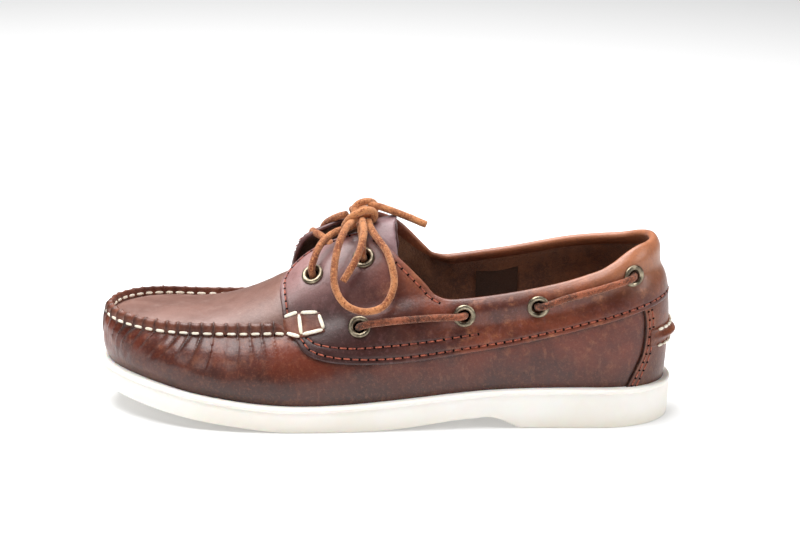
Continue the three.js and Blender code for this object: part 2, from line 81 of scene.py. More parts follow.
OUTLINE = table("at outer inner", [
    [0.00, 36.5, 35.0],
    [0.08, 37.5, 36.2],
    [0.16, 38.8, 36.8],
    [0.26, 40.5, 36.2],
    [0.36, 43.5, 36.0],
    [0.46, 48.5, 37.2],
    [0.56, 53.3, 41.5],
    [0.66, 56.2, 47.5],
    [0.73, 56.2, 50.8],
    [0.80, 53.8, 51.8],
    [0.86, 49.6, 50.6],
    [0.93, 44.0, 47.5],
    [1.00, 38.5, 44.0],
])
RIM = table("at top", [
    [0.00, 20.3],
    [0.22, 20.7],
    [0.32, 19.7],
    [0.41, 17.5],
    [0.50, 15.1],
    [0.58, 13.6],
    [0.66, 13.3],
    [0.73, 14.6],
    [0.80, 17.1],
    [0.87, 20.2],
    [0.94, 23.0],
    [1.00, 25.3],
])
TREAD = table("s z", [
    [0, 0],
    [79, 0],
    [95, 6],
    [104, 5.4],
    [114, 4.5],
    [124, 3.2],
    [142, 1.0],
    [157, 0],
    [201, 0],
    [212, 0.9],
    [225, 2.3],
    [240, 4.0],
    [261, 6.8],
    [282, 10.0],
    [300, 13.2],
])
LAST = table("at foot belly shoulder seam seam_in z_out z_in crest haunch", [
    [0.00, 4.7, 2.8, -0.5, 14.7, 14.7, 95.0, 95.0, 102.7, 0.50],
    [0.05, 5.0, 3.2, 0.3, 14.0, 14.0, 92.6, 91.4, 102.7, 0.50],
    [0.10, 5.7, 4.0, 1.9, 12.6, 12.4, 86.5, 89.9, 102.7, 0.50],
    [0.17, 5.3, 3.0, 3.2, 11.4, 10.7, 78.9, 87.7, 102.7, 0.50],
    [0.28, 5.3, 3.0, 4.8, 11.2, 9.2, 71.3, 81.3, 102.7, 0.50],
    [0.37, 5.3, 3.0, 5.6, 12.7, 9.2, 67.5, 76.9, 102.7, 0.50],
    [0.41, 5.3, 3.0, 6.0, 13.2, 9.2, 66.7, 74.9, 100.8, 0.50],
    [0.50, 5.3, 2.6, 6.2, 13.6, 10.7, 61.2, 65.7, 96.8, 0.50],
    [0.57, 5.3, 2.0, 6.4, 15.0, 13.2, 55.2, 58.2, 90.4, 0.52],
    [0.63, 5.3, 1.5, 6.0, 16.2, 14.6, 49.7, 51.2, 81.4, 0.60],
    [0.68, 5.3, 1.2, 5.4, 16.4, 15.2, 47.5, 48.2, 69.6, 0.62],
    [0.73, 5.3, 1.0, 5.2, 16.9, 15.8, 46.5, 46.9, 61.5, 0.62],
    [0.79, 5.3, 1.0, 4.8, 16.2, 15.6, 45.9, 46.1, 54.9, 0.60],
    [0.84, 5.0, 1.0, 4.2, 14.0, 14.0, 45.7, 45.9, 52.3, 0.60],
    [0.90, 4.8, 0.8, 3.0, 8.6, 9.0, 46.1, 46.3, 51.7, 0.60],
    [0.95, 4.6, 0.6, 1.8, 4.9, 5.4, 46.9, 47.1, 51.7, 0.60],
    [1.00, 4.4, 0.4, 0.8, 3.6, 3.8, 47.9, 47.9, 51.7, 0.60],
])


def curve(tab, name, at, by="at"):
    """Smooth curve through one column of a table"""
    xs, ys = tab[by], tab[name]
    slope = np.gradient(ys, xs)
    x = np.clip(np.asarray(at, float), xs[0], xs[-1])
    i = np.clip(np.searchsorted(xs, x, side="right") - 1, 0, len(xs) - 2)
    h = xs[i + 1] - xs[i]
    t = (x - xs[i]) / h
    start = (2 * t**3 - 3 * t**2 + 1) * ys[i] + (t**3 - 2 * t**2 + t) * h * slope[i]
    end = (-2 * t**3 + 3 * t**2) * ys[i + 1] + (t**3 - t**2) * h * slope[i + 1]
    return start + end


def bezier(t, a, b, c, d):
    """Cubic curve from a to d, drawn towards b and c"""
    return (1 - t) ** 3 * a + 3 * (1 - t) ** 2 * t * b + 3 * (1 - t) * t * t * c + t**3 * d


def half_width(at, side):
    """Half the sole's width along the shoe, closing in a rounded cap at each end"""
    heel = np.clip(1 - at / HEEL_CAP, 0, 1)
    toe = np.clip(1 - (1 - at) / TOE_CAP, 0, 1)
    cap = (1 - heel**HEEL_POWER) ** (1 / HEEL_POWER) * (1 - toe**TOE_POWER) ** (1 / TOE_POWER)
    both = np.where(side > 0, curve(OUTLINE, "outer", at), curve(OUTLINE, "inner", at))
    return both * cap


def on_ray(at, side, inset):
    """A point in from the sole's rim, along the ray to the spine: s, y and the ray's length"""
    hw = half_width(at, side)
    c = np.clip(at, SPINE_HEEL, SPINE_TOE) * LENGTH
    reach = np.hypot(at * LENGTH - c, hw)
    f = np.where(reach > 1e-6, 1 - inset / np.maximum(reach, 1e-6), 0)
    f = np.maximum(f, 0)
    return c + (at * LENGTH - c) * f, side * hw * f, reach


def rim_top(s):
    """Height of the sole's rim at a distance from the heel"""
    return curve(RIM, "top", np.asarray(s) / LENGTH)


def last(at, side, h, ridge=0.0):
    """The last's surface: h 0 to 1 is the wall, 1 to 2 the seam, 2 to 3 the top"""
    at, side, h = np.broadcast_arrays(np.asarray(at, float), side, np.asarray(h, float))
    v = {name: curve(LAST, name, at) for name in LAST if name != "at"}
    crest = curve(LAST, "crest", np.clip(at, SPINE_HEEL, SPINE_TOE))
    rim = curve(RIM, "top", at)
    seam_in = np.where(side > 0, v["seam"], v["seam_in"])
    seam_z = np.where(side > 0, v["z_out"], v["z_in"])
    reach = on_ray(at, side, 0)[2]
    inner_in = np.minimum(seam_in + RIDGE_WIDTH, reach)
    inner_z = seam_z + 1.6 * np.clip((at - 0.5) / 0.1, 0, 1)
    t = np.clip(h, 0, 1)
    wall_in = bezier(t, v["foot"], v["belly"], v["shoulder"], seam_in)
    wall_z = bezier(t, rim, rim + 0.35 * (seam_z - rim), rim + 0.72 * (seam_z - rim), seam_z)
    t = np.clip(h - 1, 0, 1)
    bump = ridge * (1 - np.abs(2 * t - 1) ** 3) ** (1 / 3)
    seam_at = seam_in + (inner_in - seam_in) * t
    seam_up = seam_z + (inner_z - seam_z) * t + bump
    t = np.clip(h - 2, 0, 1)
    left = reach - inner_in
    top_in = reach - bezier(t, left, left * 0.84, left * 0.54, 0)
    top_z = bezier(t, inner_z, inner_z + v["haunch"] * (crest - inner_z), crest, crest)
    inset = np.where(h <= 1, wall_in, np.where(h <= 2, seam_at, top_in))
    z = np.where(h <= 1, wall_z, np.where(h <= 2, seam_up, top_z))
    s, y, _ = on_ray(at, side, inset)
    return np.stack([s, y, z], -1)


def unit(v):
    """Vectors scaled to length one"""
    return v / np.maximum(np.linalg.norm(v, axis=-1, keepdims=True), 1e-9)


def smooth_rows(grid, sigma, axis, wrap=False):
    """Gaussian smoothing of a grid of points along one axis, its ends kept"""
    reach = int(sigma * 3 + 1)
    kernel = np.exp(-0.5 * (np.arange(-reach, reach + 1) / sigma) ** 2)
    kernel /= kernel.sum()
    g = np.moveaxis(grid, axis, 0)
    if wrap:
        padded = np.concatenate([g[-reach:], g, g[:reach]])
    else:
        low = 2 * g[:1] - g[reach:0:-1]
        high = 2 * g[-1:] - g[-2:-reach - 2:-1]
        padded = np.concatenate([low, g, high])
    out = sum(k * padded[i:i + len(g)] for i, k in enumerate(kernel))
    return np.moveaxis(out, 0, axis)


def turn_at(at):
    """Turn round the heel for a place along the shoe; even turns crowd its two ends"""
    return np.arccos(np.clip(1 - 2 * np.asarray(at, float), -1, 1))


def at_turn(turn):
    return (1 - np.cos(turn)) / 2


class Skin:
    """A smooth grid of one side of the form, read at any (at, w); w 0 is the foot and 1 the crest"""

    COLUMNS = 361
    ROWS = 201

    def __init__(self, side):
        self.side = side
        turn = np.linspace(0, np.pi, self.COLUMNS)
        at = (1 - np.cos(turn)) / 2
        h = np.concatenate([
            np.linspace(0, 1, 120), np.linspace(1, 2, 20)[1:], np.linspace(2, 3, 120)[1:]])
        points = last(at[:, None], side, h[None, :])
        lengths = np.linalg.norm(np.diff(points, axis=1), axis=2)
        run = np.concatenate([np.zeros((len(at), 1)), np.cumsum(lengths, 1)], 1)
        w = np.linspace(0, 1, self.ROWS)
        self.total, self.seam = run[:, -1], run[:, 119] / run[:, -1]
        grid = np.empty((len(at), self.ROWS, 3))
        for i in range(len(at)):
            for k in range(3):
                grid[i, :, k] = np.interp(w * run[i, -1], run[i], points[i, :, k])
        grid = smooth_rows(grid, 9, 1)
        self.turn, self.w, self.grid = turn, w, grid
        du = np.gradient(grid, axis=0)
        dv = np.gradient(grid, axis=1)
        du[0] = np.stack([np.zeros(self.ROWS), np.full(self.ROWS, float(side)), np.zeros(self.ROWS)], -1)
        du[-1] = du[0] * -1
        normal = unit(np.cross(dv, du)) * side
        normal[:, -3:] = normal[:, -4:-3]
        self.normal = unit(smooth_rows(normal, 2, 1))

    def _read(self, field, at, w):
        turn = turn_at(at)
        x = turn / np.pi * (self.COLUMNS - 1)
        y = np.clip(np.asarray(w, float), 0, 1) * (self.ROWS - 1)
        i = np.clip(x.astype(int), 0, self.COLUMNS - 2)
        j = np.clip(y.astype(int), 0, self.ROWS - 2)
        fx, fy = (x - i)[..., None], (y - j)[..., None]
        low = field[i, j] * (1 - fx) + field[i + 1, j] * fx
        high = field[i, j + 1] * (1 - fx) + field[i + 1, j + 1] * fx
        return low * (1 - fy) + high * fy

    def point(self, at, w, offset=0.0):
        at, w = np.broadcast_arrays(np.asarray(at, float), np.asarray(w, float))
        offset = np.asarray(offset, float)[..., None] if np.ndim(offset) else offset
        return self._read(self.grid, at, w) + self.normal_at(at, w) * offset

    def normal_at(self, at, w):
        return unit(self._read(self.normal, at, w))

    def seam_at(self, at):
        """w of the seam line, or of the collar behind the throat"""
        turn = turn_at(at)
        return np.interp(turn, self.turn, self.seam)

    def find(self, at, low, high, miss):
        """w between low and high at which miss(point) passes from below to above zero"""
        at = np.atleast_1d(np.asarray(at, float))
        a, b = np.full(at.shape, low, float), np.full(at.shape, high, float)
        for _ in range(30):
            mid = (a + b) / 2
            over = miss(self._read(self.grid, at, mid)) > 0
            b = np.where(over, mid, b)
            a = np.where(over, a, mid)
        return (a + b) / 2


def world(points):
    """Shoe millimetres to scene metres: the toe to -X, the outer side to -Y"""
    p = np.asarray(points, float)
    return np.stack([LENGTH / 2 - p[..., 0], CENTRE_Y - p[..., 1], p[..., 2]], -1) / 1000


SKIN = {OUTER: Skin(OUTER), INNER: Skin(INNER)}

# ---------------------------------------------------------------- sizes and lines

SADDLE_LIFT = 1.6
LINING_IN = 2.3
COLLAR_ROLL = 2.1
FLAP_ROUND = 1.2
EYELET_CUT = 4.0
CUT_ROUND = 0.45
EDGE_SINK = 0.15
COUNTER_LIFT = 1.35
TAB_LIFT, TAB_PUFF = 0.7, 1.3
KICKER_REACH, KICKER_LIFT, KICKER_FOLD = 11.0, 1.9, 3.3
HEEL_STEPS = 81
SEAM_FROM = 0.672
TOE_MIDDLE = (235.0, 0.0, 15.0)
TOE_SPAN = 205.0
FLAP_RISE = {OUTER: 0.6, INNER: 8.2}
STRAP_THICKNESS = 1.2
LACE = 3.8
PLEAT_PITCH = 6.2

SADDLE_LOW = [
    (0.0, 0.43), (0.011, 0.425), (0.056, 0.400), (0.123, 0.355), (0.213, 0.285), (0.305, 0.230),
    (0.413, 0.202), (0.491, 0.198), (0.544, 0.212), (0.595, 0.242), (0.629, 0.290), (0.648, 0.37),
    (0.661, 0.44), (0.671, 0.50),
]
SADDLE_FRONT = {
    OUTER: [(0.671, 0.50), (0.675, 0.60), (0.678, 0.70), (0.679, 0.80)],
    INNER: [(0.671, 0.50), (0.670, 0.60), (0.667, 0.70), (0.664, 0.80)],
}
THROAT = {
    OUTER: [
        (0.679, 0.80), (0.677, 0.86), (0.670, 0.92), (0.660, 0.962), (0.646, 0.980), (0.62, 0.980),
        (0.60, 0.973), (0.57, 0.966), (0.545, 0.958), (0.53, 0.930), (0.513, 0.852), (0.496, 0.783),
        (0.478, 0.722), (0.456, 0.655), (0.435, 0.588), (0.417, 0.518), (0.398, 0.482),
    ],
    INNER: [
        (0.664, 0.80), (0.662, 0.86), (0.657, 0.92), (0.650, 0.955), (0.640, 0.975), (0.62, 0.980),
        (0.60, 0.973), (0.57, 0.966), (0.545, 0.958), (0.53, 0.940), (0.513, 0.896), (0.496, 0.848),
        (0.478, 0.800), (0.456, 0.738), (0.435, 0.668), (0.417, 0.598), (0.398, 0.572),
    ],
}
SECOND_ROW = [
    (0.634, 0.385), (0.617, 0.34), (0.595, 0.315), (0.565, 0.295), (0.535, 0.285), (0.478, 0.28),
    (0.417, 0.285), (0.362, 0.295), (0.341, 0.300),
]
EYELETS = [
    (0.625, 0.750), (0.539, 0.765), (0.544, 0.395), (0.366, 0.395), (0.239, 0.435), (0.063, 0.580),
]
COUNTER_FRONT = [
    (0.049, 0.41), (0.045, 0.34), (0.045, 0.245), (0.049, 0.165), (0.061, 0.08), (0.074, 0.0),
]

LOOP_OUTER = [
    (167, 9, 102), (171.5, 18, 99), (176, 30, 88), (176, 38, 73), (170, 42, 65), (160, 43, 62),
    (151, 42, 65), (146, 37, 75), (149, 29, 88), (158, 15, 98), (160, 9.5, 101.5),
]
LOOP_INNER = [
    (171.5, 0.5, 102.5), (175.5, -3, 100.6), (180.5, -7.5, 97), (183.5, -14, 92.5), (182, -28, 87),
    (177, -34, 79), (170, -35, 77), (166, -31, 84), (167, -23, 93), (168, -13, 100), (167, -6.5, 103.5),
]
END_FRONT = [(163, 12, 102.5), (162, 22, 97.5), (165, 31, 88), (172, 36, 76)]
END_BACK = [(160, 0.5, 108.2), (154.5, 2, 107.4), (146, 3, 104.8), (138.5, 4, 102.2), (130, 6, 99.2)]


def round_shoe(turn):
    """Place along the shoe and side of the foot at signed turns from the toe, outer side positive"""
    return (1 + np.cos(turn)) / 2, np.where(turn >= 0, OUTER, INNER)


def on_skin(side, line, offset=0.0):
    """Points of the form at (turn, w) places, raised by an offset"""
    return SKIN[side].point(at_turn(line[..., 0]), line[..., 1], offset)


def skin_normal(side, line):
    return SKIN[side].normal_at(at_turn(line[..., 0]), line[..., 1])


def slopes(face):
    """Differences of a grid of points along its rows and its columns"""
    return np.gradient(face, axis=0), np.gradient(face, axis=1)


def resample(want, run, values):
    """Values along a line, read at other distances"""
    return np.stack([np.interp(want, run, values[:, k]) for k in range(values.shape[1])], -1)


def smooth(x, low, high):
    t = np.clip((np.asarray(x, float) - low) / (high - low), 0, 1)
    return t * t * (3 - 2 * t)


def noise_1d(x, seed, scale):
    """Smooth repeatable noise, -1 to 1"""
    x = np.asarray(x, float) / scale
    i = np.floor(x)
    f = x - i
    f = f * f * (3 - 2 * f)

    def value(k):
        return np.modf(np.abs(np.sin(k * 12.9898 + seed * 78.233) * 43758.5453))[0] * 2 - 1

    return value(i) * (1 - f) + value(i + 1) * f


def spline(points, steps):
    """A smooth line through points, with even steps"""
    p = np.asarray(points, float)
    ext = np.vstack([2 * p[0] - p[1], p, 2 * p[-1] - p[-2]])
    out = []
    for k in range(len(p) - 1):
        a, b, c, d = ext[k:k + 4]
        t1 = max(np.linalg.norm(b - a), 1e-6) ** 0.5
        t2 = t1 + max(np.linalg.norm(c - b), 1e-6) ** 0.5
        t3 = t2 + max(np.linalg.norm(d - c), 1e-6) ** 0.5
        t = np.linspace(t1, t2, 24, endpoint=False)[:, None]
        a1 = (t1 - t) / t1 * a + t / t1 * b
        a2 = (t2 - t) / (t2 - t1) * b + (t - t1) / (t2 - t1) * c
        a3 = (t3 - t) / (t3 - t2) * c + (t - t2) / (t3 - t2) * d
        b1 = (t2 - t) / t2 * a1 + t / t2 * a2
        b2 = (t3 - t) / (t3 - t1) * a2 + (t - t1) / (t3 - t1) * a3
        out.append((t2 - t) / (t2 - t1) * b1 + (t - t1) / (t2 - t1) * b2)
    return even(np.vstack(out + [p[-1:]]), steps)


def even(line, steps):
    """A line's points at even distances"""
    run = run_of(line)
    return resample(np.linspace(0, run[-1], steps), run, line)


def run_of(line):
    """Distance along a line at each of its points"""
    return np.concatenate([[0], np.cumsum(np.linalg.norm(np.diff(line, axis=0), axis=1))])


def on_form(side, line, steps):
    """A smooth (turn, w) line through (at, w) points, evenly spaced on the form"""
    p = np.array(line, float)
    fine = spline(np.stack([turn_at(p[:, 0]) * 60, p[:, 1] * 100], -1), 1200) / [60, 100]
    run = run_of(on_skin(side, fine))
    return resample(np.linspace(0, run[-1], steps), run, fine)


def collar_line(side):
    """(at, w) of the collar from the slope's foot back to the heel"""
    skin = SKIN[side]
    at = np.array([0.38, 0.34, 0.29, 0.24, 0.19, 0.145, 0.105, 0.07, 0.04, 0.018, 0.004, 0.0])
    total = np.interp(turn_at(at), skin.turn, skin.total)
    low = 0.014 * (1 - smooth(at, 0.0, 0.07))
    return list(zip(at, skin.seam_at(at) - COLLAR_ROLL / total - low))


def far_lift(side, at, w):
    """How far a flap stands up off the form near the throat"""
    high = smooth(w, 0.50, 0.86) * smooth(at, 0.395, 0.485) * smooth(-at, -0.672, -0.625)
    return FLAP_RISE[side] * high


# ---------------------------------------------------------------- meshes


def grid_faces(rows, columns, first=0, wrap_rows=False, wrap_columns=False, flip=False):
    """Quads over a grid of rows by columns of points"""
    faces = []
    for i in range(rows if wrap_rows else rows - 1):
        for j in range(columns if wrap_columns else columns - 1):
            a = first + i * columns + j
            b = first + i * columns + (j + 1) % columns
            c = first + ((i + 1) % rows) * columns + (j + 1) % columns
            d = first + ((i + 1) % rows) * columns + j
            faces.append((a, d, c, b) if flip else (a, b, c, d))
    return faces


def piece(name, points, faces, material, replaces=(), uv=None, recalculate=True, weld=0.02):
    """A mesh piece from shoe millimetres, riding on the shoe"""
    mesh = bpy.data.meshes.new(name)
    mesh.from_pydata(world(points).tolist(), [], faces)
    if uv is not None:
        layer = mesh.uv_layers.new(name="UVMap")
        index = np.empty(len(mesh.loops), np.int32)
        mesh.loops.foreach_get("vertex_index", index)
        layer.data.foreach_set("uv", np.asarray(uv, np.float32)[index].ravel())
    body = bmesh.new()
    body.from_mesh(mesh)
    bmesh.ops.remove_doubles(body, verts=body.verts, dist=weld / 1000)
    bmesh.ops.dissolve_degenerate(body, edges=body.edges, dist=weld / 4000)
    if recalculate:
        bmesh.ops.recalc_face_normals(body, faces=body.faces)
    body.to_mesh(mesh)
    body.free()
    mesh.polygons.foreach_set("use_smooth", [True] * len(mesh.polygons))
    materials = material if isinstance(material, (list, tuple)) else [material]
    for item in materials:
        mesh.materials.append(item)
    item = bpy.data.objects.new(name, mesh)
    bpy.context.scene.collection.objects.link(item)
    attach(item, BODY)
    if replaces:
        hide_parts(*replaces)
    return item


def tube(line, radius, sides=18, wobble=0.0, seed=1):
    """Rings along a line with cut ends: points, faces and uv"""
    n = len(line)
    tangent = unit(np.gradient(line, axis=0))
    ref = np.array([0.0, 0.0, 1.0]) if abs(tangent[0][2]) < 0.9 else np.array([0.0, 1.0, 0.0])
    normal = unit(ref - tangent[0] * (ref @ tangent[0]))
    angle = np.linspace(0, 2 * np.pi, sides, endpoint=False)
    run = run_of(line)
    points, uv = [], []
    for i in range(n):
        normal = unit(normal - tangent[i] * (normal @ tangent[i]))
        across = np.cross(tangent[i], normal)
        lump = noise_1d(run[i] + 3 * np.cos(angle), seed, 2.6)
        lump = lump + noise_1d(run[i] - 5 * np.sin(angle), seed + 3, 5.0)
        r = (radius * (1 + wobble * lump))[:, None]
        points.append(line[i] + np.cos(angle)[:, None] * r * normal + np.sin(angle)[:, None] * r * across)
        uv += [(a / (2 * np.pi), run[i] / 10) for a in angle]
    faces = grid_faces(n, sides, wrap_columns=True)
    points = np.vstack(points)
    for end, inward in ((0, 1), (n - 1, -1)):
        base = len(points)
        ring = points[end * sides:(end + 1) * sides]
        middle = ring.mean(0)
        inner = middle + (ring - middle) * 0.86 - tangent[end] * inward * radius * 0.10
        points = np.vstack([points, inner, middle[None] - tangent[end] * inward * radius * 0.12])
        uv += [(0.5, run[end] / 10)] * (sides + 1)
        for k in range(sides):
            j = (k + 1) % sides
            a, b, c, d = end * sides + k, end * sides + j, base + j, base + k
            faces.append((a, d, c, b))
            faces.append((d, base + sides, c))
    return points, faces, uv


def lace(name, points, material, diameter=LACE, replaces=(), wobble=0.03, seed=1):
    """A lace along a smooth line through points; returns the piece and its line"""
    rough = np.asarray(points, float)
    steps = max(12, int(run_of(spline(rough, 60))[-1] / 0.8))
    line = spline(rough, steps)
    verts, faces, uv = tube(line, diameter / 2, wobble=wobble, seed=seed)
    return piece(name, verts, faces, material, replaces, uv=uv), line


def with_rims(face, normal, rims, holes=()):
    """Points and faces of a panel over a grid of face points, with its edges turned down.

    rims lists (side, profile): side is low, last, high, first or around, and profile(share) gives
    the rows (out, down) beyond that edge. Faces within a hole's radius are left out.
    """
    rows, columns = face.shape[:2]
    points = face.reshape(-1, 3)
    faces = grid_faces(rows, columns)
    index = np.arange(rows * columns).reshape(rows, columns)
    if holes:
        centre = np.array([points[list(f)].mean(0) for f in faces])
        keep = np.ones(len(faces), bool)
        for hole, radius in holes:
            keep &= np.linalg.norm(centre - hole, axis=1) > radius
        faces = [f for f, k in zip(faces, keep) if k]
    edges = {"low": np.s_[:, 0], "last": np.s_[-1, :], "high": np.s_[:, -1], "first": np.s_[0, :]}
    for side, profile in rims:
        if side == "around":
            walk = [np.s_[:, 0], np.s_[-1, 1:], np.s_[-2::-1, -1]]
            ids = np.concatenate([index[w] for w in walk])
            p = np.concatenate([face[w] for w in walk])
            n = np.concatenate([normal[w] for w in walk])
            share = np.concatenate([
                np.linspace(0, 1, rows), np.linspace(1, 2, columns)[1:], np.linspace(2, 3, rows)[1:],
            ])
        else:
            w = edges[side]
            ids, p, n = index[w], face[w], normal[w]
            share = np.linspace(0, 1, len(ids))
        along = unit(np.gradient(p, axis=0))
        out = unit(np.cross(along, n))
        inside = face[rows // 2, columns // 2]
        flip = -1 if np.mean(np.einsum("ij,ij->i", out, p - inside)) < 0 else 1
        out = out * flip
        previous = ids
        for a, b in profile(share):
            ring = p + out * np.asarray(a)[:, None] - n * np.asarray(b)[:, None]
            base = len(points)
            points = np.vstack([points, ring])
            new = base + np.arange(len(ids))
            faces += [(previous[k], previous[k + 1], new[k + 1], new[k]) for k in range(len(ids) - 1)]
            previous = new
    return points, faces


def cut_edge(thickness, rounding=CUT_ROUND):
    """Profile of a cut edge standing on what is under it"""
    def rows(share):
        one = np.ones_like(share)
        steps = ((0.55, 0.12), (0.88, 0.45), (1.0, 1.0))
        return [(one * rounding * a, one * rounding * b) for a, b in steps] + [
            (one * rounding, one * (thickness + EDGE_SINK)),
        ]
    return rows


def cut_all_round(thickness):
    return [("around", cut_edge(thickness)), ("first", cut_edge(thickness))]


def coons(low, high, first, last_line, rows, columns):
    """A grid in (turn, w) filled from its four edge lines"""
    t = np.linspace(0, 1, rows)[:, None, None]
    k = np.linspace(0, 1, columns)[None, :, None]
    low, high = low[:, None], high[:, None]
    first, last_line = first[None], last_line[None]
    corners = (
        (1 - t) * (1 - k) * low[:1] + t * (1 - k) * low[-1:] + (1 - t) * k * high[:1] + t * k * high[-1:]
    )
    return (1 - k) * low + k * high + (1 - t) * first + t * last_line - corners


def near_lines(points, lines):
    """Distance from each point to the nearest of some lines' points"""
    flat = points.reshape(-1, 3)
    best = np.full(len(flat), 1e9)
    cloud = np.vstack(lines)
    for i in range(0, len(flat), 2000):
        part = flat[i:i + 2000]
        best[i:i + 2000] = np.sqrt(((part[:, None] - cloud[None]) ** 2).sum(-1)).min(1)
    return best.reshape(points.shape[:2])


# ---------------------------------------------------------------- the saddle and its edges


def saddle_lines(side):
    """The saddle's low edge, front edge, throat-and-collar edge and heel line, in (turn, w)"""
    long, short = SADDLE_GRID
    low = on_form(side, SADDLE_LOW, long)
    front = on_form(side, SADDLE_FRONT[side], short)
    high = on_form(side, (THROAT[side] + collar_line(side))[::-1], long)
    heel = np.linspace(low[0], high[0], short)
    return low, front, high, heel


# rise, distance below the collar's edge and width of the padding and of the valley under it
COLLAR_BANDS = [(1.3, 7.0, 5.0), (-1.2, 16.5, 4.5)]
HEEL_LIP = 2.3
# depth and width in millimetres of the groove a seam pulls and of the dish round an eyelet
SEAM_GROOVE = (0.34, 0.75)
EYELET_DISH = (0.5, 6.0)
SADDLE_GRID = (340, 90)


def saddle_offset(side, turn, w):
    """Height of the saddle's face over the form: its lift, the collar's padding, the raised flap"""
    at = at_turn(turn)
    skin = SKIN[side]
    below = (skin.seam_at(at) - w) * np.interp(turn, skin.turn, skin.total)
    collar = 1 - smooth(at, 0.36, 0.44)
    heel = 1 - smooth(at, 0.0, 0.09)
    bands = sum(rise * np.exp(-((below - middle) / width) ** 2) for rise, middle, width in COLLAR_BANDS)
    lip = HEEL_LIP * heel * smooth(-below, -12.0, 0.0)
    return SADDLE_LIFT + bands * collar + lip + far_lift(side, at, w)


def saddle_rim(side, high_at):
    """Profile round the saddle: a cut edge low and in front, the collar's roll, the flap's edge"""
    def rows(share):
        where = np.clip(3 - share, 0, 1) * (len(high_at) - 1)
        at = np.interp(where, np.arange(len(high_at)), high_at)
        top = share > 2
        collar = np.where(top, 1 - smooth(at, 0.385, 0.425), 0)
        flap = smooth(share, 1.35, 1.75)
        plain = 1 - np.maximum(flap, top)
        radius = COLLAR_ROLL * collar + FLAP_ROUND * (1 - collar) * (1 - plain) + CUT_ROUND * plain
        back = 7.0 * collar + (10.0 - 7.0 * smooth(at, 0.52, 0.6)) * (1 - collar)
        out = []
        for phi in (25, 50, 75, 100, 130, 155, 180):
            a = math.radians(phi)
            ring_out = radius * math.sin(a)
            ring_down = radius * (1 - math.cos(a))
            flat_out = CUT_ROUND * min(1, math.sin(a) * 1.2 if phi < 60 else 1)
            flat_down = min(phi / 75, 1) * CUT_ROUND if phi < 80 else (SADDLE_LIFT + EDGE_SINK)
            out.append((
                ring_out * (1 - plain) + flat_out * plain,
                ring_down * (1 - plain) + flat_down * plain,
            ))
        for far in (0.3, 0.65, 1.0):
            out.append((
                -back * far * (1 - plain) + CUT_ROUND * plain,
                (2 * radius + 0.4 * far * collar) * (1 - plain) + (SADDLE_LIFT + EDGE_SINK) * plain,
            ))
        return out
    return rows


def facing(normal, reference):
    """Unit normals turned to the reference's side"""
    return unit(normal * np.sign(np.einsum("...k,...k->...", normal, reference))[..., None])


def eyelet_places(side):
    """Centre, normal and offset direction of each eyelet on one side"""
    at = np.array([e[0] for e in EYELETS])
    w = np.array([e[1] for e in EYELETS])
    if side == INNER:
        seam_out, seam_in = SKIN[OUTER].seam_at(at), SKIN[INNER].seam_at(at)
        w = np.where(np.arange(len(at)) < 2, w, w * seam_in / seam_out)
    e = 0.004

    def face(x, v):
        return SKIN[side].point(x, v, saddle_offset(side, turn_at(x), v))

    centre = face(at, w)
    across = face(at + e, w) - face(at - e, w)
    up = face(at, w + e) - face(at, w - e)
    normal = facing(np.cross(across, up), SKIN[side].normal_at(at, w))
    return centre, normal, unit(across)


def row_in(side, edge, distance, start=0.0, stop=1.0, steps=400):
    """A (turn, w) line that runs a distance in from an edge line, towards the panel's middle"""
    fine = resample(np.linspace(start, stop, steps), np.linspace(0, 1, len(edge)), edge)
    p = on_skin(side, fine)
    along = unit(np.gradient(p, axis=0))
    across = unit(np.cross(along, skin_normal(side, fine)))
    e = 1e-3
    p_turn = SKIN[side].point(at_turn(fine[:, 0] + e), fine[:, 1]) - p
    p_w = SKIN[side].point(at_turn(fine[:, 0]), np.clip(fine[:, 1] + e, 0, 1)) - SKIN[side].point(
        at_turn(fine[:, 0]), np.clip(fine[:, 1] - e, 0, 1))
    step = e + np.minimum(e, 1 - fine[:, 1])
    p_turn, p_w = p_turn / e, p_w / step[:, None]
    a11 = (p_turn * p_turn).sum(1)
    a12 = (p_turn * p_w).sum(1)
    a22 = (p_w * p_w).sum(1)
    want = across * distance
    b1, b2 = (want * p_turn).sum(1), (want * p_w).sum(1)
    det = a11 * a22 - a12 * a12
    return np.stack([fine[:, 0] + (a22 * b1 - a12 * b2) / det, fine[:, 1] + (a11 * b2 - a12 * b1) / det], -1)


ROW_STEPS, ROW_INSET = 900, 2.1


def saddle_rows(side):
    """(turn, w) lines of the saddle's rust-red stitching"""
    low, front, high, _ = saddle_lines(side)
    around = np.vstack([low, front[1:], high[-2::-1]])
    run = run_of(on_skin(side, around))
    edge = resample(np.linspace(0, run[-1], ROW_STEPS), run, around)
    foot = high[np.argmin(np.abs(at_turn(high[:, 0]) - 0.405))]
    stop = np.argmin(np.abs(edge[:, 0] - foot[0]) + np.abs(edge[:, 1] - foot[1]))
    inward = row_in(side, edge, ROW_INSET * side, 0.004, stop / ROW_STEPS, 800)
    return [inward, on_form(side, SECOND_ROW, 200)]


def on_saddle(side, line):
    """Points and normals on the saddle's face along a (turn, w) line"""
    offset = saddle_offset(side, line[:, 0], line[:, 1])
    return on_skin(side, line, offset), skin_normal(side, line)


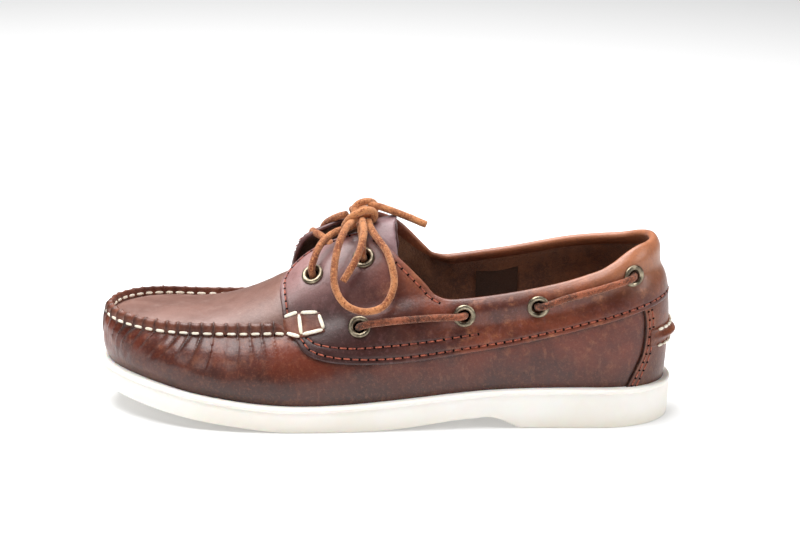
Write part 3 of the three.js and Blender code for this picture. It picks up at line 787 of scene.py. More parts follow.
def build_saddle(side, name, node, material):
    low, front, high, heel = saddle_lines(side)
    grid = coons(low, high, heel, front, *SADDLE_GRID)
    turn, w = grid[..., 0], grid[..., 1]
    out = skin_normal(side, grid)
    face = on_skin(side, grid, saddle_offset(side, turn, w))
    rows = [on_saddle(side, line)[0] for line in saddle_rows(side)]
    away = near_lines(face, [r[::2] for r in rows])
    depth, width = SEAM_GROOVE
    face = face - out * (depth * np.exp(-(away / width) ** 2))[..., None]
    depth, width = EYELET_DISH
    centre = eyelet_places(side)[0]
    for c in centre:
        d = np.linalg.norm(face - c, axis=-1)
        face = face - out * (depth * np.exp(-(d / width) ** 4))[..., None]
    normal = facing(np.cross(*slopes(face)), out)
    normal[:3] = normal[3:4]
    normal[:, :2], normal[:, -2:] = normal[:, 2:3], normal[:, -3:-2]
    profile = saddle_rim(side, at_turn(high[:, 0]))
    holes = [(c, EYELET_CUT) for c in centre]
    points, faces = with_rims(face, normal, [("around", profile)], holes)
    item = piece(name, points, faces, material, (node,))
    # Painted shade: the saddle darkens along its low and front edges, over its turned-down cut edge.
    edge = [on_skin(side, line[::2], 0.4) for line in (low, front)]
    reach = near_lines(world_back(item)[:, None], edge)[:, 0]
    painted_shade(item, 0.9 * np.exp(-(reach / 0.75) ** 2))
    return item


def world_back(item):
    """A piece's points in shoe millimetres"""
    flat = np.empty(len(item.data.vertices) * 3)
    item.data.vertices.foreach_get("co", flat)
    return flat.reshape(-1, 3) * [-1, -1, 1] * 1000 + [150, CENTRE_Y, 0]


def build_lining(material):
    """Inside of the quarters, from the insole to under the collar's roll and the flaps"""
    for side, name in ((OUTER, "lining_outer"), (INNER, "lining_inner")):
        high = saddle_lines(side)[2]
        low = np.stack([high[:, 0], np.full(len(high), 0.06)], -1)
        high = row_in(side, high, -1.0 * side, steps=len(high))
        k = np.linspace(0, 1, 60)[None, :, None]
        grid = low[:, None] * (1 - k) + high[:, None] * k
        turn, w = grid[..., 0], np.clip(grid[..., 1], 0, 0.99)
        at = at_turn(turn)
        top = smooth(k[..., 0] * np.ones_like(w), 0.72, 1.0)
        collar = 1 - smooth(at, 0.38, 0.43)
        inside = LINING_IN + 2.6 * top * collar - 1.5 * top * (1 - collar)
        inside = inside + 0.25 * np.sin(at * 61 + w * 17) * (1 - top)
        points = SKIN[side].point(at, w, far_lift(side, at, w) - inside)
        faces = grid_faces(*w.shape)
        piece(name, points.reshape(-1, 3), faces, material)


def build_patch(material):
    """A plain rectangle of darker leather on the inner lining"""
    at = np.linspace(0.268, 0.342, 30)[:, None] * np.ones((1, 20))
    w = np.linspace(0.33, 0.545, 20)[None, :] * np.ones((30, 1))
    points = SKIN[INNER].point(at, w, -LINING_IN - 0.75)
    return piece("lining_patch", points.reshape(-1, 3), grid_faces(30, 20), material)


# ---------------------------------------------------------------- the vamp and its puckered seam


def toe_columns():
    """Signed turns round the shoe from the outer heel past the toe, close together at the pleats"""
    turn = np.linspace(-np.pi, np.pi, 4001)
    line = seam_point(turn)
    run = run_of(line)
    middle = run[-1] / 2
    coarse = np.linspace(0, middle - TOE_SPAN, 70)[:-1]
    fine = np.linspace(middle - TOE_SPAN, middle + TOE_SPAN, 821)
    rest = np.linspace(middle + TOE_SPAN, run[-1], 70)[1:]
    want = np.concatenate([coarse, fine, rest])
    return np.interp(want, run, turn), want - middle


def seam_point(turn, h=1.0):
    """A point of the last at a turn from the toe, outer side positive"""
    at, side = round_shoe(turn)
    return last(at, side, h, ridge_height(at))


def ridge_height(at):
    return RIDGE_HIGH * smooth(at, RIDGE_START, RIDGE_START + RIDGE_RISE)


def painted_shade(item, amount):
    """Store how much painted shade darkens each point of a piece, 0 to 1"""
    layer = item.data.attributes.new("painted_shade", "FLOAT", "POINT")
    layer.data.foreach_set("value", np.asarray(amount, np.float32).ravel())


def pleat(run):
    """Depth of the gathers along the seam, 0 on a cushion and 1 in a groove, and each one's number"""
    number = np.floor(run / PLEAT_PITCH + 0.5)
    groove = 1 - np.abs(np.sin(np.pi * (run / PLEAT_PITCH + 0.5))) ** 0.38
    return groove, number


def wall_under_saddle(at, side, rows):
    """The smooth form that the wall follows behind the front of the saddle"""
    under = np.empty((len(at), len(rows), 3))
    for s in (OUTER, INNER):
        m = side == s
        w = np.minimum(rows, 1)[None, :] * (SKIN[s].seam_at(at[m])[:, None] - 0.06)
        w = w + 0.02 * np.clip(rows - 1, 0, 1)[None, :]
        under[m] = SKIN[s].point(np.broadcast_to(at[m][:, None], w.shape), w, 0.0)
    return under


def gathers(run, h, toe, leaning):
    """Depth of the pleats on the wall and on the crown of the ridge, in millimetres"""
    groove, number = pleat(leaning)
    crown_groove = pleat(run)[0][:, None]
    strength = 0.62 + 0.38 * np.sin(number * 5.1 + 1.7)
    length = 0.22 + (0.16 + 0.24 * toe) * (0.55 + 0.45 * np.sin(number * 3.7 + 0.6))
    fade = np.clip((h - (1 - length)) / length, 0, 1) ** 0.8
    wall = fade * (1.0 + 1.5 * toe) * groove * strength * (h <= 1)
    crown = (h > 1) * (2.4 - 1.5 * (h - 1)) * crown_groove * (0.8 + 0.2 * np.sin(number * 2.3))
    return wall, crown * np.where(run > 0, 1.0, 0.45)[:, None]


def creases(h, leaning):
    """Long soft creases and hollows down the wall"""
    low = smooth(h, 0.1, 0.5) * smooth(-h, -1.0, -0.75)
    wave = 0.50 * noise_1d(leaning, 4, 8.5) * low + 0.22 * noise_1d(leaning, 9, 2.9) * low
    return wave + 0.35 * noise_1d(leaning * 0.7 + 31 * h, 6, 9.0) * low


def build_vamp(material, ridge_material):
    """The gathered wall of the upper and the puckered ridge along its seam"""
    turn, run = toe_columns()
    at, side = round_shoe(turn)
    rows = np.concatenate([
        np.linspace(0, 0.75, 64), np.linspace(0.75, 1, 33)[1:], np.linspace(1, 2, 25)[1:]])
    face = last(at[:, None], side[:, None], rows[None, :], ridge_height(at)[:, None])
    k = smooth(at, 0.60, 0.665)[:, None, None]
    face = face * k + wall_under_saddle(at, side, rows) * (1 - k)
    du, dv = slopes(face)
    normal = unit(np.cross(dv, du))
    h = rows[None, :]
    away = np.abs(run)
    lean = 15 * smooth(away, 12, 38) * (1 - smooth(away, 62, 84)) - 9 * smooth(away, 84, 104)
    leaning = run[:, None] + (np.sign(run) * lean)[:, None] * np.clip(1 - h, 0, 1)
    toe = (1 - smooth(away, 55, 112))[:, None]
    on_ridge = smooth(at, RIDGE_START - 0.01, RIDGE_START + 0.03)[:, None]
    wall, crown = gathers(run, h, toe, leaning)
    face = face - normal * ((wall + crown) * on_ridge)[..., None]
    face = face + normal * (creases(h, leaning) * (0.35 + 0.65 * toe))[..., None]
    item = piece(
        "vamp", face.reshape(-1, 3), grid_faces(*face.shape[:2]), [material, ridge_material],
        ("upper",), weld=0.0)
    index = np.arange(len(item.data.polygons)) % (len(rows) - 1) >= int(np.argmax(rows >= 1))
    item.data.polygons.foreach_set("material_index", index.astype(np.int32))
    # Painted shade: the wall darkens in the pleats' grooves and along the saddle's and the counter's edges,
    # where they shade it.
    dark = np.clip(wall / 1.2 + crown / 1.6, 0, 1) * on_ridge
    for s in (OUTER, INNER):
        m = side == s
        low, front = saddle_lines(s)[:2]
        edges = [on_skin(s, line) for line in (low[::2], front[::2], on_form(s, COUNTER_FRONT, 60))]
        dark[m] = np.maximum(dark[m], 0.9 * np.exp(-(near_lines(face[m], edges) / 1.5) ** 2))
    painted_shade(item, dark)


def build_plug(material):
    """The smooth top of the vamp inside the seam, running back under the saddle"""
    turn = np.linspace(-np.pi, np.pi, 721)
    at = (1 + np.cos(turn)) / 2
    keep = at > 0.60
    turn, at = turn[keep], at[keep]
    side = np.where(turn >= 0, OUTER, INNER)
    rows = np.linspace(1.93, 3, 60)
    face = last(at[:, None], side[:, None], rows[None, :], ridge_height(at)[:, None])
    sink = 1.2 * smooth(-face[..., 0], -207, -199)
    dip = 0.5 * np.exp(-((rows - 2.06) / 0.10) ** 2)[None, :]
    face[..., 2] -= sink + dip
    return piece("plug", face.reshape(-1, 3), grid_faces(*face.shape[:2]), material)


def build_tongue(material):
    """A leather tongue under the throat, its free end standing up behind the laces"""
    s = np.linspace(201, 145.5, 70)
    y = np.linspace(-23, 23, 61)
    face = np.empty((len(s), len(y), 3))
    for side in (OUTER, INNER):
        m = y >= 0 if side == OUTER else y < 0
        grid_s, grid_y = np.meshgrid(s, np.abs(y[m]), indexing="ij")
        at = grid_s / LENGTH
        w = SKIN[side].find(at.ravel(), 0.3, 1.0, lambda p: grid_y.ravel() - np.abs(p[..., 1]))
        p = SKIN[side].point(at, w.reshape(at.shape))
        face[:, m] = np.stack([grid_s, side * grid_y, p[..., 2]], -1)
    free = smooth(-face[..., 0], -173, -153)
    round_off = np.clip(1 - (np.abs(face[..., 1] - 4) / 19) ** 2, -0.6, 1)
    face[..., 2] += -3.4 + free * 9.0 * round_off
    ragged = 0.5 * noise_1d(face[..., 1], 5, 3.0) + 0.25 * noise_1d(face[..., 1], 6, 1.1)
    face[..., 0] += free * (1.5 * round_off + ragged)
    normal = unit(np.cross(*slopes(face)))
    normal *= np.sign(normal[..., 2:3])
    edge = flap_edge(1.0, 6.0)
    points, faces = with_rims(face, normal, [("around", edge), ("high", edge)])
    return piece("tongue_sheet", points, faces, material, ("tongue",))


def flap_edge(radius, back):
    """Profile of an edge that turns over and runs back underneath"""
    def rows(share):
        one = np.ones_like(share)
        out = []
        for phi in (30, 60, 90, 120, 150, 180):
            a = math.radians(phi)
            out.append((one * radius * math.sin(a), one * radius * (1 - math.cos(a))))
        return out + [(-one * back * far, one * 2 * radius) for far in (0.3, 0.65, 1.0)]
    return rows


# ---------------------------------------------------------------- heel, tab, insole and sole


def build_counter(material):
    """Heel counter under the band, from one side round the heel to the other"""
    rows = 40
    front = {s: on_form(s, COUNTER_FRONT, rows)[::-1] for s in (OUTER, INNER)}
    columns = 121
    k = np.linspace(-1, 1, columns)
    face = np.empty((columns, rows, 3))
    normal = np.empty((columns, rows, 3))
    for i, share in enumerate(k):
        side = OUTER if share >= 0 else INNER
        turn = front[side][:, 0] * abs(share)
        w = front[side][:, 1] + (1 - abs(share)) * 0.035 * np.linspace(0, 1, rows)
        face[i] = SKIN[side].point(at_turn(turn), w, COUNTER_LIFT)
        normal[i] = SKIN[side].normal_at(at_turn(turn), w)
    points, faces = with_rims(face, normal, cut_all_round(COUNTER_LIFT))
    item = piece("counter", points, faces, material, ("heel_counter",))
    # Painted shade: the counter's turned-down edge is dark all round.
    painted_shade(item, np.arange(len(item.data.vertices)) >= columns * rows)
    return item


def heel_strip(low_z, high_z, reach, offset, bulge, steps, rows):
    """A grid over the heel between two heights, reaching forward to s = reach on each side"""
    turns = np.linspace(-1, 1, steps) * turn_at(reach / LENGTH)
    v = np.linspace(0, 1, rows)
    face = np.empty((steps, rows, 3))
    normal = np.empty((steps, rows, 3))
    for i, turn in enumerate(turns):
        side = OUTER if turn >= 0 else INNER
        at = np.full(rows, at_turn(abs(turn)))
        share = abs(i / (steps - 1) * 2 - 1)
        target = low_z(share) + (high_z(share) - low_z(share)) * v
        w = SKIN[side].find(at, 0.0, 1.0, lambda p: p[..., 2] - target)
        rise = offset + bulge * (1 - share ** 2) * np.exp(-((v - 0.5) / 0.21) ** 2)
        face[i] = SKIN[side].point(at, w, rise)
        normal[i] = SKIN[side].normal_at(at, w)
    return face, normal


def build_kicker(material):
    face, normal = heel_strip(
        lambda k: 40.2 + 1.0 * k, lambda k: 50.4 - 0.8 * k,
        KICKER_REACH, KICKER_LIFT, KICKER_FOLD, HEEL_STEPS, 40)
    points, faces = with_rims(face, normal, cut_all_round(STRAP_THICKNESS))
    return piece("kicker", points, faces, material, ("heel_kicker",))


TAB_LOW = [(0.603, 0.402), (0.622, 0.402), (0.640, 0.397), (0.653, 0.402), (0.664, 0.436), (0.672, 0.470)]
TAB_HIGH = [(0.612, 0.520), (0.630, 0.536), (0.646, 0.548), (0.662, 0.556), (0.673, 0.540)]


def build_tab(material):
    """Short strap over the front end of the saddle, one on each side"""
    for side, name in ((OUTER, "strap_tab_outer"), (INNER, "strap_tab_inner")):
        low = on_form(side, TAB_LOW, 50)
        high = on_form(side, TAB_HIGH, 50)
        k = np.linspace(0, 1, 26)[None, :, None]
        grid = low[:, None] * (1 - k) + high[:, None] * k
        t = np.linspace(0, 1, 50)[:, None]
        cells = np.abs(np.sin(np.pi * 2.0 * t)) ** 0.45 * np.sin(np.pi * k[..., 0]) ** 0.45
        face = on_skin(side, grid, SADDLE_LIFT + TAB_LIFT + TAB_PUFF * cells)
        points, faces = with_rims(face, skin_normal(side, grid), cut_all_round(STRAP_THICKNESS))
        piece(name, points, faces, material)


# the sole's section, in from its rim: (inset, height over the tread), (share of the wall's
# height, inset) and (inset, depth under the rim), then the sock's (inset, height over the rim)
TREAD_RELIEF = 1.2
FOOT_EDGE = [(4.2, TREAD_RELIEF), (3.0, 0.0), (2.2, 0.0), (1.6, 0.12), (1.15, 0.45), (0.95, 1.0)]
WALL_INSETS = [(0.25, 0.75), (0.5, 0.5), (0.75, 0.3), (0.86, 0.22)]
RIM_BEAD = [
    (0.55, 2.9), (0.62, 2.6), (0.55, 2.3), (0.05, 2.0), (-0.10, 1.5), (-0.02, 0.8), (0.35, 0.25),
    (0.95, 0.0), (1.8, -0.05), (3.4, -0.05), (4.6, 0.1), (8.0, 0.3),
]
SOCK = [(6.8, 3.0), (6.9, 4.6), (7.6, 5.5), (9.0, 5.2), (12, 4.7), (18, 4.4), (26, 4.3)]


def build_sole(material):
    """Cup sole: tread, wall with a bead along its top, and the shelf under the upper"""
    turn = np.linspace(-np.pi, np.pi, 1201)[:-1]
    at, side = round_shoe(turn)
    reach = on_ray(at, side, 0)[2]
    top = curve(RIM, "top", at)
    rings = []

    def add(inset, z):
        s, y, _ = on_ray(at, side, np.minimum(inset, reach))
        rings.append(np.stack([s, y, z(s) if callable(z) else z], -1))

    def tread(s):
        return np.maximum(curve(TREAD, "z", s, "s"), 0.0)

    for share in (1.0, 0.75, 0.5, 0.3, 0.15):
        add(reach * share, lambda s: tread(s) + TREAD_RELIEF)
    for inset, up in FOOT_EDGE:
        add(np.full_like(reach, inset), lambda s, up=up: tread(s) + up)
    foot = tread(at * LENGTH) + 1.0
    for share, inset in WALL_INSETS:
        add(np.full_like(reach, inset), foot + (top - 2.6 - foot) * share)
    for inset, down in RIM_BEAD:
        add(np.full_like(reach, inset), top - down)
    for share in (0.5, 1.0):
        add(reach * share + 8.0 * (1 - share), top - 0.6)
    points = np.vstack(rings)
    faces = grid_faces(len(rings), len(turn), wrap_columns=True)
    return piece("cup_sole", points, faces, material, ("outsole",))


def build_insole(material):
    """The padded sock inside, domed at its edge"""
    turn = np.linspace(-np.pi, np.pi, 361)[:-1]
    at, side = round_shoe(turn)
    reach = on_ray(at, side, 0)[2]
    rings = []
    for inset, up in SOCK:
        s, y, _ = on_ray(at, side, np.minimum(inset, reach))
        rings.append(np.stack([s, y, rim_top(s) + up], -1))
    for share in (0.5, 1.0):
        inset = np.minimum(SOCK[-1][0], reach) * (1 - share) + reach * share
        s, y, _ = on_ray(at, side, inset)
        rings.append(np.stack([s, y, rim_top(s) + SOCK[-1][1]], -1))
    faces = grid_faces(len(rings), len(turn), wrap_columns=True)
    return piece("sock", np.vstack(rings), faces, material, ("insole",))


# ---------------------------------------------------------------- eyelets and laces


EYELET_PROFILE = [
    (5.8, -0.35), (5.82, 0.25), (5.6, 0.66), (5.1, 0.95), (4.5, 1.02), (3.9, 0.88), (3.4, 0.50),
    (3.1, 0.0), (3.0, -0.6), (3.0, -1.5),
]


def build_eyelets(brass, dark):
    """Rolled rings at the throat and along the band, each with a dark disc of painted shade in its hole"""
    sides = 36
    angle = np.linspace(0, 2 * np.pi, sides, endpoint=False)
    for side, word in ((OUTER, "outer"), (INNER, "inner")):
        centre, normal, along = eyelet_places(side)
        for i in range(len(centre)):
            node = f"eyelet_throat_{word}_{i + 1}" if i < 2 else f"eyelet_band_{word}_{i - 1}"
            n = normal[i]
            u = unit(along[i] - n * (along[i] @ n))
            v = np.cross(n, u)
            rings = [
                centre[i] + (r * np.cos(angle))[:, None] * u + (r * np.sin(angle))[:, None] * v + n * z
                for r, z in EYELET_PROFILE
            ]
            faces = grid_faces(len(rings), sides, wrap_columns=True)
            base = len(rings) * sides
            # A dark disc sunk in each ring stands in for the shade inside the hole.
            points = np.vstack(rings + [centre[i][None] - n * 1.5])
            first = (len(rings) - 1) * sides
            floor = [(first + k, first + (k + 1) % sides, base) for k in range(sides)]
            item = piece(
                f"ring_{word}_{i + 1}", points, faces + floor, [brass, dark], (node,))
            for polygon in item.data.polygons:
                if len(polygon.vertices) == 3:
                    polygon.material_index = 1


def through(side, i, ahead, sink=2.0, rise=2.2, lean=2.5):
    """Points of a lace coming up out of an eyelet and leaning over towards a point"""
    centre, normal, _ = eyelet_places(side)
    c, n = centre[i], normal[i]
    way = np.asarray(ahead, float) - c
    way = unit(way - n * (way @ n))
    return [c - n * sink - way * 0.6, c + n * 0.1 + way * 0.2, c + n * rise + way * lean]


def build_side_bars(material):
    """The collar lace where it shows, between its eyelets"""
    for side, word in ((OUTER, "outer"), (INNER, "inner")):
        centre = eyelet_places(side)[0]
        for bar, (a, b) in enumerate(((2, 3), (4, 5)), 1):
            start = through(side, a, centre[b], rise=1.7, lean=2.8)
            stop = through(side, b, centre[a], rise=1.7, lean=2.8)[::-1]
            at_a, w_a = EYELETS[a]
            at_b, w_b = EYELETS[b]
            if side == INNER:
                ratio = [float(SKIN[INNER].seam_at(x) / SKIN[OUTER].seam_at(x)) for x in (at_a, at_b)]
                w_a, w_b = w_a * ratio[0], w_b * ratio[1]
            middle = []
            for k in (0.25, 0.5, 0.75):
                turn = float(turn_at(at_a * (1 - k) + at_b * k))
                w = w_a * (1 - k) + w_b * k
                sag = 0.25 * math.sin(math.pi * k) / 100
                lift = float(saddle_offset(side, np.array(turn), np.array(w))) + 1.9
                middle.append(SKIN[side].point(at_turn(turn), w + sag, lift))
            lace(
                f"collar_lace_{word}_{bar}", start + middle + stop, material,
                replaces=(f"lace_bar_{word}_{bar}",), seed=11 + bar, wobble=0.035)


# each run: its name, side, eyelet, the point it leans to, rise, lean and its further points
BOW_RUNS = [
    ("lace_run_near_front", OUTER, 0, (180, 12, 90), 2.6, 1.0, [
        (187.0, 21.0, 85.0), (184.2, 15.5, 90.0), (180.2, 10.5, 93.2), (176.0, 7.0, 95.0),
        (170.5, 4.5, 96.0), (165.0, 4.0, 98.5)]),
    ("lace_run_far_front", INNER, 0, (186, -4, 92), 2.0, 3.0, [
        (189.2, -9.0, 90.8), (188.2, -4.0, 91.6), (184.5, 0.5, 90.6), (180.4, 4.0, 88.6),
        (177.5, 8.5, 85.0)]),
    ("lace_run_near_back", OUTER, 1, (164, 12, 95), 2.4, 0.6, [
        (162.8, 16.5, 93.0), (163.8, 11.5, 97.5), (164.5, 6.5, 99.5)]),
    ("lace_run_far_back", INNER, 1, (163, -8, 102), 2.4, 1.5, [
        (162.5, -12.0, 103.0), (163.0, -5.5, 104.0), (163.5, 0.0, 103.0)]),
]
KNOT_LACES = [
    ("knot_wrap", [
        (170.5, 2.0, 95.5), (172.2, 6.0, 96.8), (171.4, 9.0, 100.0), (168.6, 10.6, 103.8),
        (164.4, 11.0, 106.2), (160.4, 10.2, 107.4), (157.6, 8.6, 106.2), (156.6, 7.4, 103.4),
        (158.0, 5.0, 100.5), (161.0, 1.5, 98.5)]),
    ("knot_over", [
        (166.5, 6.0, 102.5), (167.2, 3.0, 106.4), (164.6, 1.0, 108.8), (160.5, 0.4, 109.6),
        (157.4, -2.0, 108.0), (156.6, -4.0, 104.5), (158.5, -3.5, 101.5)]),
    ("knot_core", [
        (168.0, 2.5, 100.5), (164.5, 5.0, 103.5), (160.5, 5.5, 104.0), (158.5, 3.0, 102.5),
        (161.0, -1.0, 102.0), (166.0, -2.5, 103.5), (168.5, -0.5, 105.0), (165.0, 2.5, 105.6),
        (160.5, 3.0, 105.6)]),
]
BOW_CORDS = [
    ("bow_loop_near", LOOP_OUTER, "lace_loop_outer", "object", "loose"),
    ("bow_loop_far", LOOP_INNER, "lace_loop_inner", "object", "loose"),
    ("bow_end_near", END_FRONT, "lace_end_front", "bare", "hanging"),
    ("bow_end_far", END_BACK, "lace_end_back", "bare", "loose"),
]


def build_bow(material):
    """The throat lace: four runs up from the eyelets, the knot, two loops and two ends"""
    def tie(name, points, seed, *replaces):
        return lace(name, points, material, replaces=replaces, seed=seed)

    for i, (name, side, eyelet, ahead, rise, lean, points) in enumerate(BOW_RUNS):
        line = through(side, eyelet, ahead, rise=rise, lean=lean) + points
        tie(name, line, 21 + i, *(("lace_crossing",) if i == 0 else ()))
    for i, (name, points) in enumerate(KNOT_LACES):
        tie(name, points, 31 + i, *(("lace_knot",) if i == 0 else ()))
    for i, (name, points, node, far_end, lay) in enumerate(BOW_CORDS):
        item, line = tie(name, points, 41 + i, node)


# ---------------------------------------------------------------- stitching, by Geometry Nodes


def stitch_tree():
    """Instances one swollen stitch on every point, along the point's own direction"""
    tree = bpy.data.node_groups.new("Stitches", "GeometryNodeTree")
    face = tree.interface
    face.new_socket("Geometry", in_out="INPUT", socket_type="NodeSocketGeometry")
    for name, low, high in (("Thickness", 0.0001, 0.004), ("Swell", 0.1, 2.0)):
        socket = face.new_socket(name, in_out="INPUT", socket_type="NodeSocketFloat")
        socket.min_value, socket.max_value = low, high
    face.new_socket("Seed", in_out="INPUT", socket_type="NodeSocketInt")
    face.new_socket("Material", in_out="INPUT", socket_type="NodeSocketMaterial")
    face.new_socket("Geometry", in_out="OUTPUT", socket_type="NodeSocketGeometry")
    nodes, links = tree.nodes, tree.links

    def add(kind, inputs=(), **values):
        node = nodes.new(kind)
        for key, value in values.items():
            setattr(node, key, value)
        for key, value in inputs:
            node.inputs[key].default_value = value
        return node

    def stored(name, kind):
        return add("GeometryNodeInputNamedAttribute", [("Name", name)], data_type=kind)

    start = add("NodeGroupInput")
    end = add("NodeGroupOutput")
    ball = add("GeometryNodeMeshUVSphere", [("Segments", 14), ("Rings", 12), ("Radius", 0.5)])
    where = add("GeometryNodeInputPosition")
    square = add("ShaderNodeVectorMath", operation="MULTIPLY")
    fourth = add("ShaderNodeVectorMath", operation="DOT_PRODUCT")
    root = add("ShaderNodeMath", [(1, -0.25)], operation="POWER")
    half = add("ShaderNodeMath", [(1, 0.5)], operation="MULTIPLY")
    blunt = add("ShaderNodeVectorMath", operation="SCALE")
    shape = add("GeometryNodeSetPosition")
    smooth_ball = add("GeometryNodeSetShadeSmooth")
    along, up, size = stored("along", "FLOAT_VECTOR"), stored("up", "FLOAT_VECTOR"), stored("reach", "FLOAT")
    aim_up = add("FunctionNodeAlignRotationToVector", axis="Z")
    aim_along = add("FunctionNodeAlignRotationToVector", axis="X", pivot_axis="Z")
    vary = add("FunctionNodeRandomValue", data_type="FLOAT")
    vary.inputs["Min"].default_value, vary.inputs["Max"].default_value = 0.9, 1.1
    thick = add("ShaderNodeMath", operation="MULTIPLY")
    high = add("ShaderNodeMath", operation="MULTIPLY")
    scale = add("ShaderNodeCombineXYZ")
    place = add("GeometryNodeInstanceOnPoints")
    real = add("GeometryNodeRealizeInstances")
    paint = add("GeometryNodeSetMaterial")
    for a, b in (
        (where.outputs["Position"], square.inputs[0]),
        (where.outputs["Position"], square.inputs[1]),
        (square.outputs["Vector"], fourth.inputs[0]),
        (square.outputs["Vector"], fourth.inputs[1]),
        (fourth.outputs["Value"], root.inputs[0]),
        (root.outputs[0], half.inputs[0]),
        (half.outputs[0], blunt.inputs["Scale"]),
        (where.outputs["Position"], blunt.inputs[0]),
        (blunt.outputs["Vector"], shape.inputs["Position"]),
        (ball.outputs["Mesh"], shape.inputs["Geometry"]),
        (shape.outputs["Geometry"], smooth_ball.inputs["Geometry"]),
        (start.outputs["Geometry"], place.inputs["Points"]),
        (smooth_ball.outputs["Geometry"], place.inputs["Instance"]),
        (up.outputs["Attribute"], aim_up.inputs["Vector"]),
        (aim_up.outputs["Rotation"], aim_along.inputs["Rotation"]),
        (along.outputs["Attribute"], aim_along.inputs["Vector"]),
        (aim_along.outputs["Rotation"], place.inputs["Rotation"]),
        (start.outputs["Seed"], vary.inputs["Seed"]),
        (start.outputs["Thickness"], thick.inputs[0]),
        (vary.outputs[1], thick.inputs[1]),
        (thick.outputs[0], high.inputs[0]),
        (start.outputs["Swell"], high.inputs[1]),
        (size.outputs["Attribute"], scale.inputs["X"]),
        (thick.outputs[0], scale.inputs["Y"]),
        (high.outputs[0], scale.inputs["Z"]),
        (scale.outputs["Vector"], place.inputs["Scale"]),
        (place.outputs["Instances"], real.inputs["Geometry"]),
        (real.outputs["Geometry"], paint.inputs["Geometry"]),
        (start.outputs["Material"], paint.inputs["Material"]),
        (paint.outputs["Geometry"], end.inputs["Geometry"]),
    ):
        links.new(a, b)
    return tree


def stitches(name, tree, seams, thickness, swell, material, seed):
    """A piece of stitches; seams are (centres, directions, ups, lengths), in shoe millimetres"""
    centre = np.vstack([s[0] for s in seams])
    along = np.vstack([s[1] for s in seams]) * [-1, -1, 1]
    up = np.vstack([s[2] for s in seams]) * [-1, -1, 1]
    reach = np.concatenate([s[3] for s in seams]) / 1000
    mesh = bpy.data.meshes.new(name)
    mesh.from_pydata(world(centre).tolist(), [], [])
    for key, kind, field, data in (
        ("along", "FLOAT_VECTOR", "vector", along),
        ("up", "FLOAT_VECTOR", "vector", up),
        ("reach", "FLOAT", "value", reach),
    ):
        layer = mesh.attributes.new(key, kind, "POINT")
        layer.data.foreach_set(field, np.asarray(data, np.float32).ravel())
    maker = bpy.data.objects.new(name + "_points", mesh)
    bpy.context.scene.collection.objects.link(maker)
    modifier = maker.modifiers.new("Stitches", "NODES")
    modifier.node_group = tree
    sockets = {s.name: s.identifier for s in tree.interface.items_tree if s.in_out == "INPUT"}
    modifier[sockets["Thickness"]] = thickness / 1000
    modifier[sockets["Swell"]] = swell
    modifier[sockets["Seed"]] = seed
    modifier[sockets["Material"]] = material
    bpy.context.view_layer.update()
    made = bpy.data.meshes.new_from_object(maker.evaluated_get(bpy.context.evaluated_depsgraph_get()))
    made.name = name
    maker.modifiers.remove(modifier)
    bpy.data.objects.remove(maker)
    item = bpy.data.objects.new(name, made)
    bpy.context.scene.collection.objects.link(item)
    made.polygons.foreach_set("use_smooth", [True] * len(made.polygons))
    if not made.materials:
        made.materials.append(material)
    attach(item, BODY)
    return item


THREAD_LIFT = 0.15
NEEDLE_HOLE, NEEDLE_HOLE_LONG, SEAM_HOLE = 1.3, 0.95, 1.7


def set_along(points, normals, places, run, lift, lengths):
    """Stitches at distances along a line of points: centres, directions, ups and lengths"""
    up = unit(resample(places, run, normals))
    along = unit(resample(places, run, np.gradient(points, run, axis=0)))
    return resample(places, run, points) + up * lift, along, up, lengths


def seam(points, normals, pitch, share, lift=0.0):
    """Even stitches along a line of points"""
    run = run_of(points)
    count = max(1, int(run[-1] / pitch))
    places = (np.arange(count) + 0.5) * run[-1] / count
    return set_along(points, normals, places, run, lift, np.full(count, run[-1] / count * share))


def between_stitches(points, normals, pitch, lift):
    """Needle holes between the stitches of a seam, as dark marks of painted shade"""
    run = run_of(points)
    count = max(2, int(run[-1] / pitch))
    places = np.arange(count + 1) * run[-1] / count
    return set_along(points, normals, places, run, lift, np.full(count + 1, NEEDLE_HOLE_LONG))


def puckered_seam():
    """Turns and distances of the puckered seam where it is sewn, and its pleats' numbers"""
    turn, run = toe_columns()
    inside = round_shoe(turn)[0] > SEAM_FROM
    turn, run = turn[inside], run[inside]
    return turn, run, np.arange(math.ceil(run[0] / PLEAT_PITCH), math.floor(run[-1] / PLEAT_PITCH) + 1)


def on_puckers(turn, h, middle):
    """Directions at h on the puckered seam, and ups across it at a middle h"""
    e = 0.006
    along = unit(seam_point(turn + e, h) - seam_point(turn - e, h))
    across = seam_point(turn, middle + 0.03) - seam_point(turn, middle - 0.03)
    return along, unit(np.cross(across, along))


def seam_holes():
    """Needle holes between the white stitches of the puckered seam, as dark marks of painted shade"""
    turn, run, number = puckered_seam()
    t = np.interp((number[:-1] + 0.5) * PLEAT_PITCH, run, turn)
    along, up = on_puckers(t, 1.002, 1.0)
    return [(seam_point(t, 1.002) - [0, 0, 0.2], along, up, np.full(len(t), SEAM_HOLE))]


def on_counter(side, distance, steps=200):
    """A row of stitching on the counter, a distance in from its front edge"""
    front = on_form(side, COUNTER_FRONT, steps)
    line = row_in(side, front, distance, 0.06, 0.97, steps)
    return on_skin(side, line, COUNTER_LIFT + 0.07), skin_normal(side, line)


def fine_seams():
    """Lines of the rust-red stitching: points and normals"""
    lines = []
    for side in (OUTER, INNER):
        for row in saddle_rows(side):
            lines.append(on_saddle(side, row))
        lines += [on_counter(side, -side * distance) for distance in (1.7, 4.3)]
    return lines


def hand_seams():
    """White hand stitches on both faces of the puckered seam"""
    out = []
    turn, run, number = puckered_seam()
    t = np.interp(number * PLEAT_PITCH, run, turn)
    length = PLEAT_PITCH * (0.69 + 0.06 * np.sin(number * 3.3))
    for h in (1.004, 1.997):
        p = seam_point(t, h)
        along, up = on_puckers(t, h, h)
        up = facing(up, p - TOE_MIDDLE)
        out.append((p + up * 0.2, along, up, length))
    return out


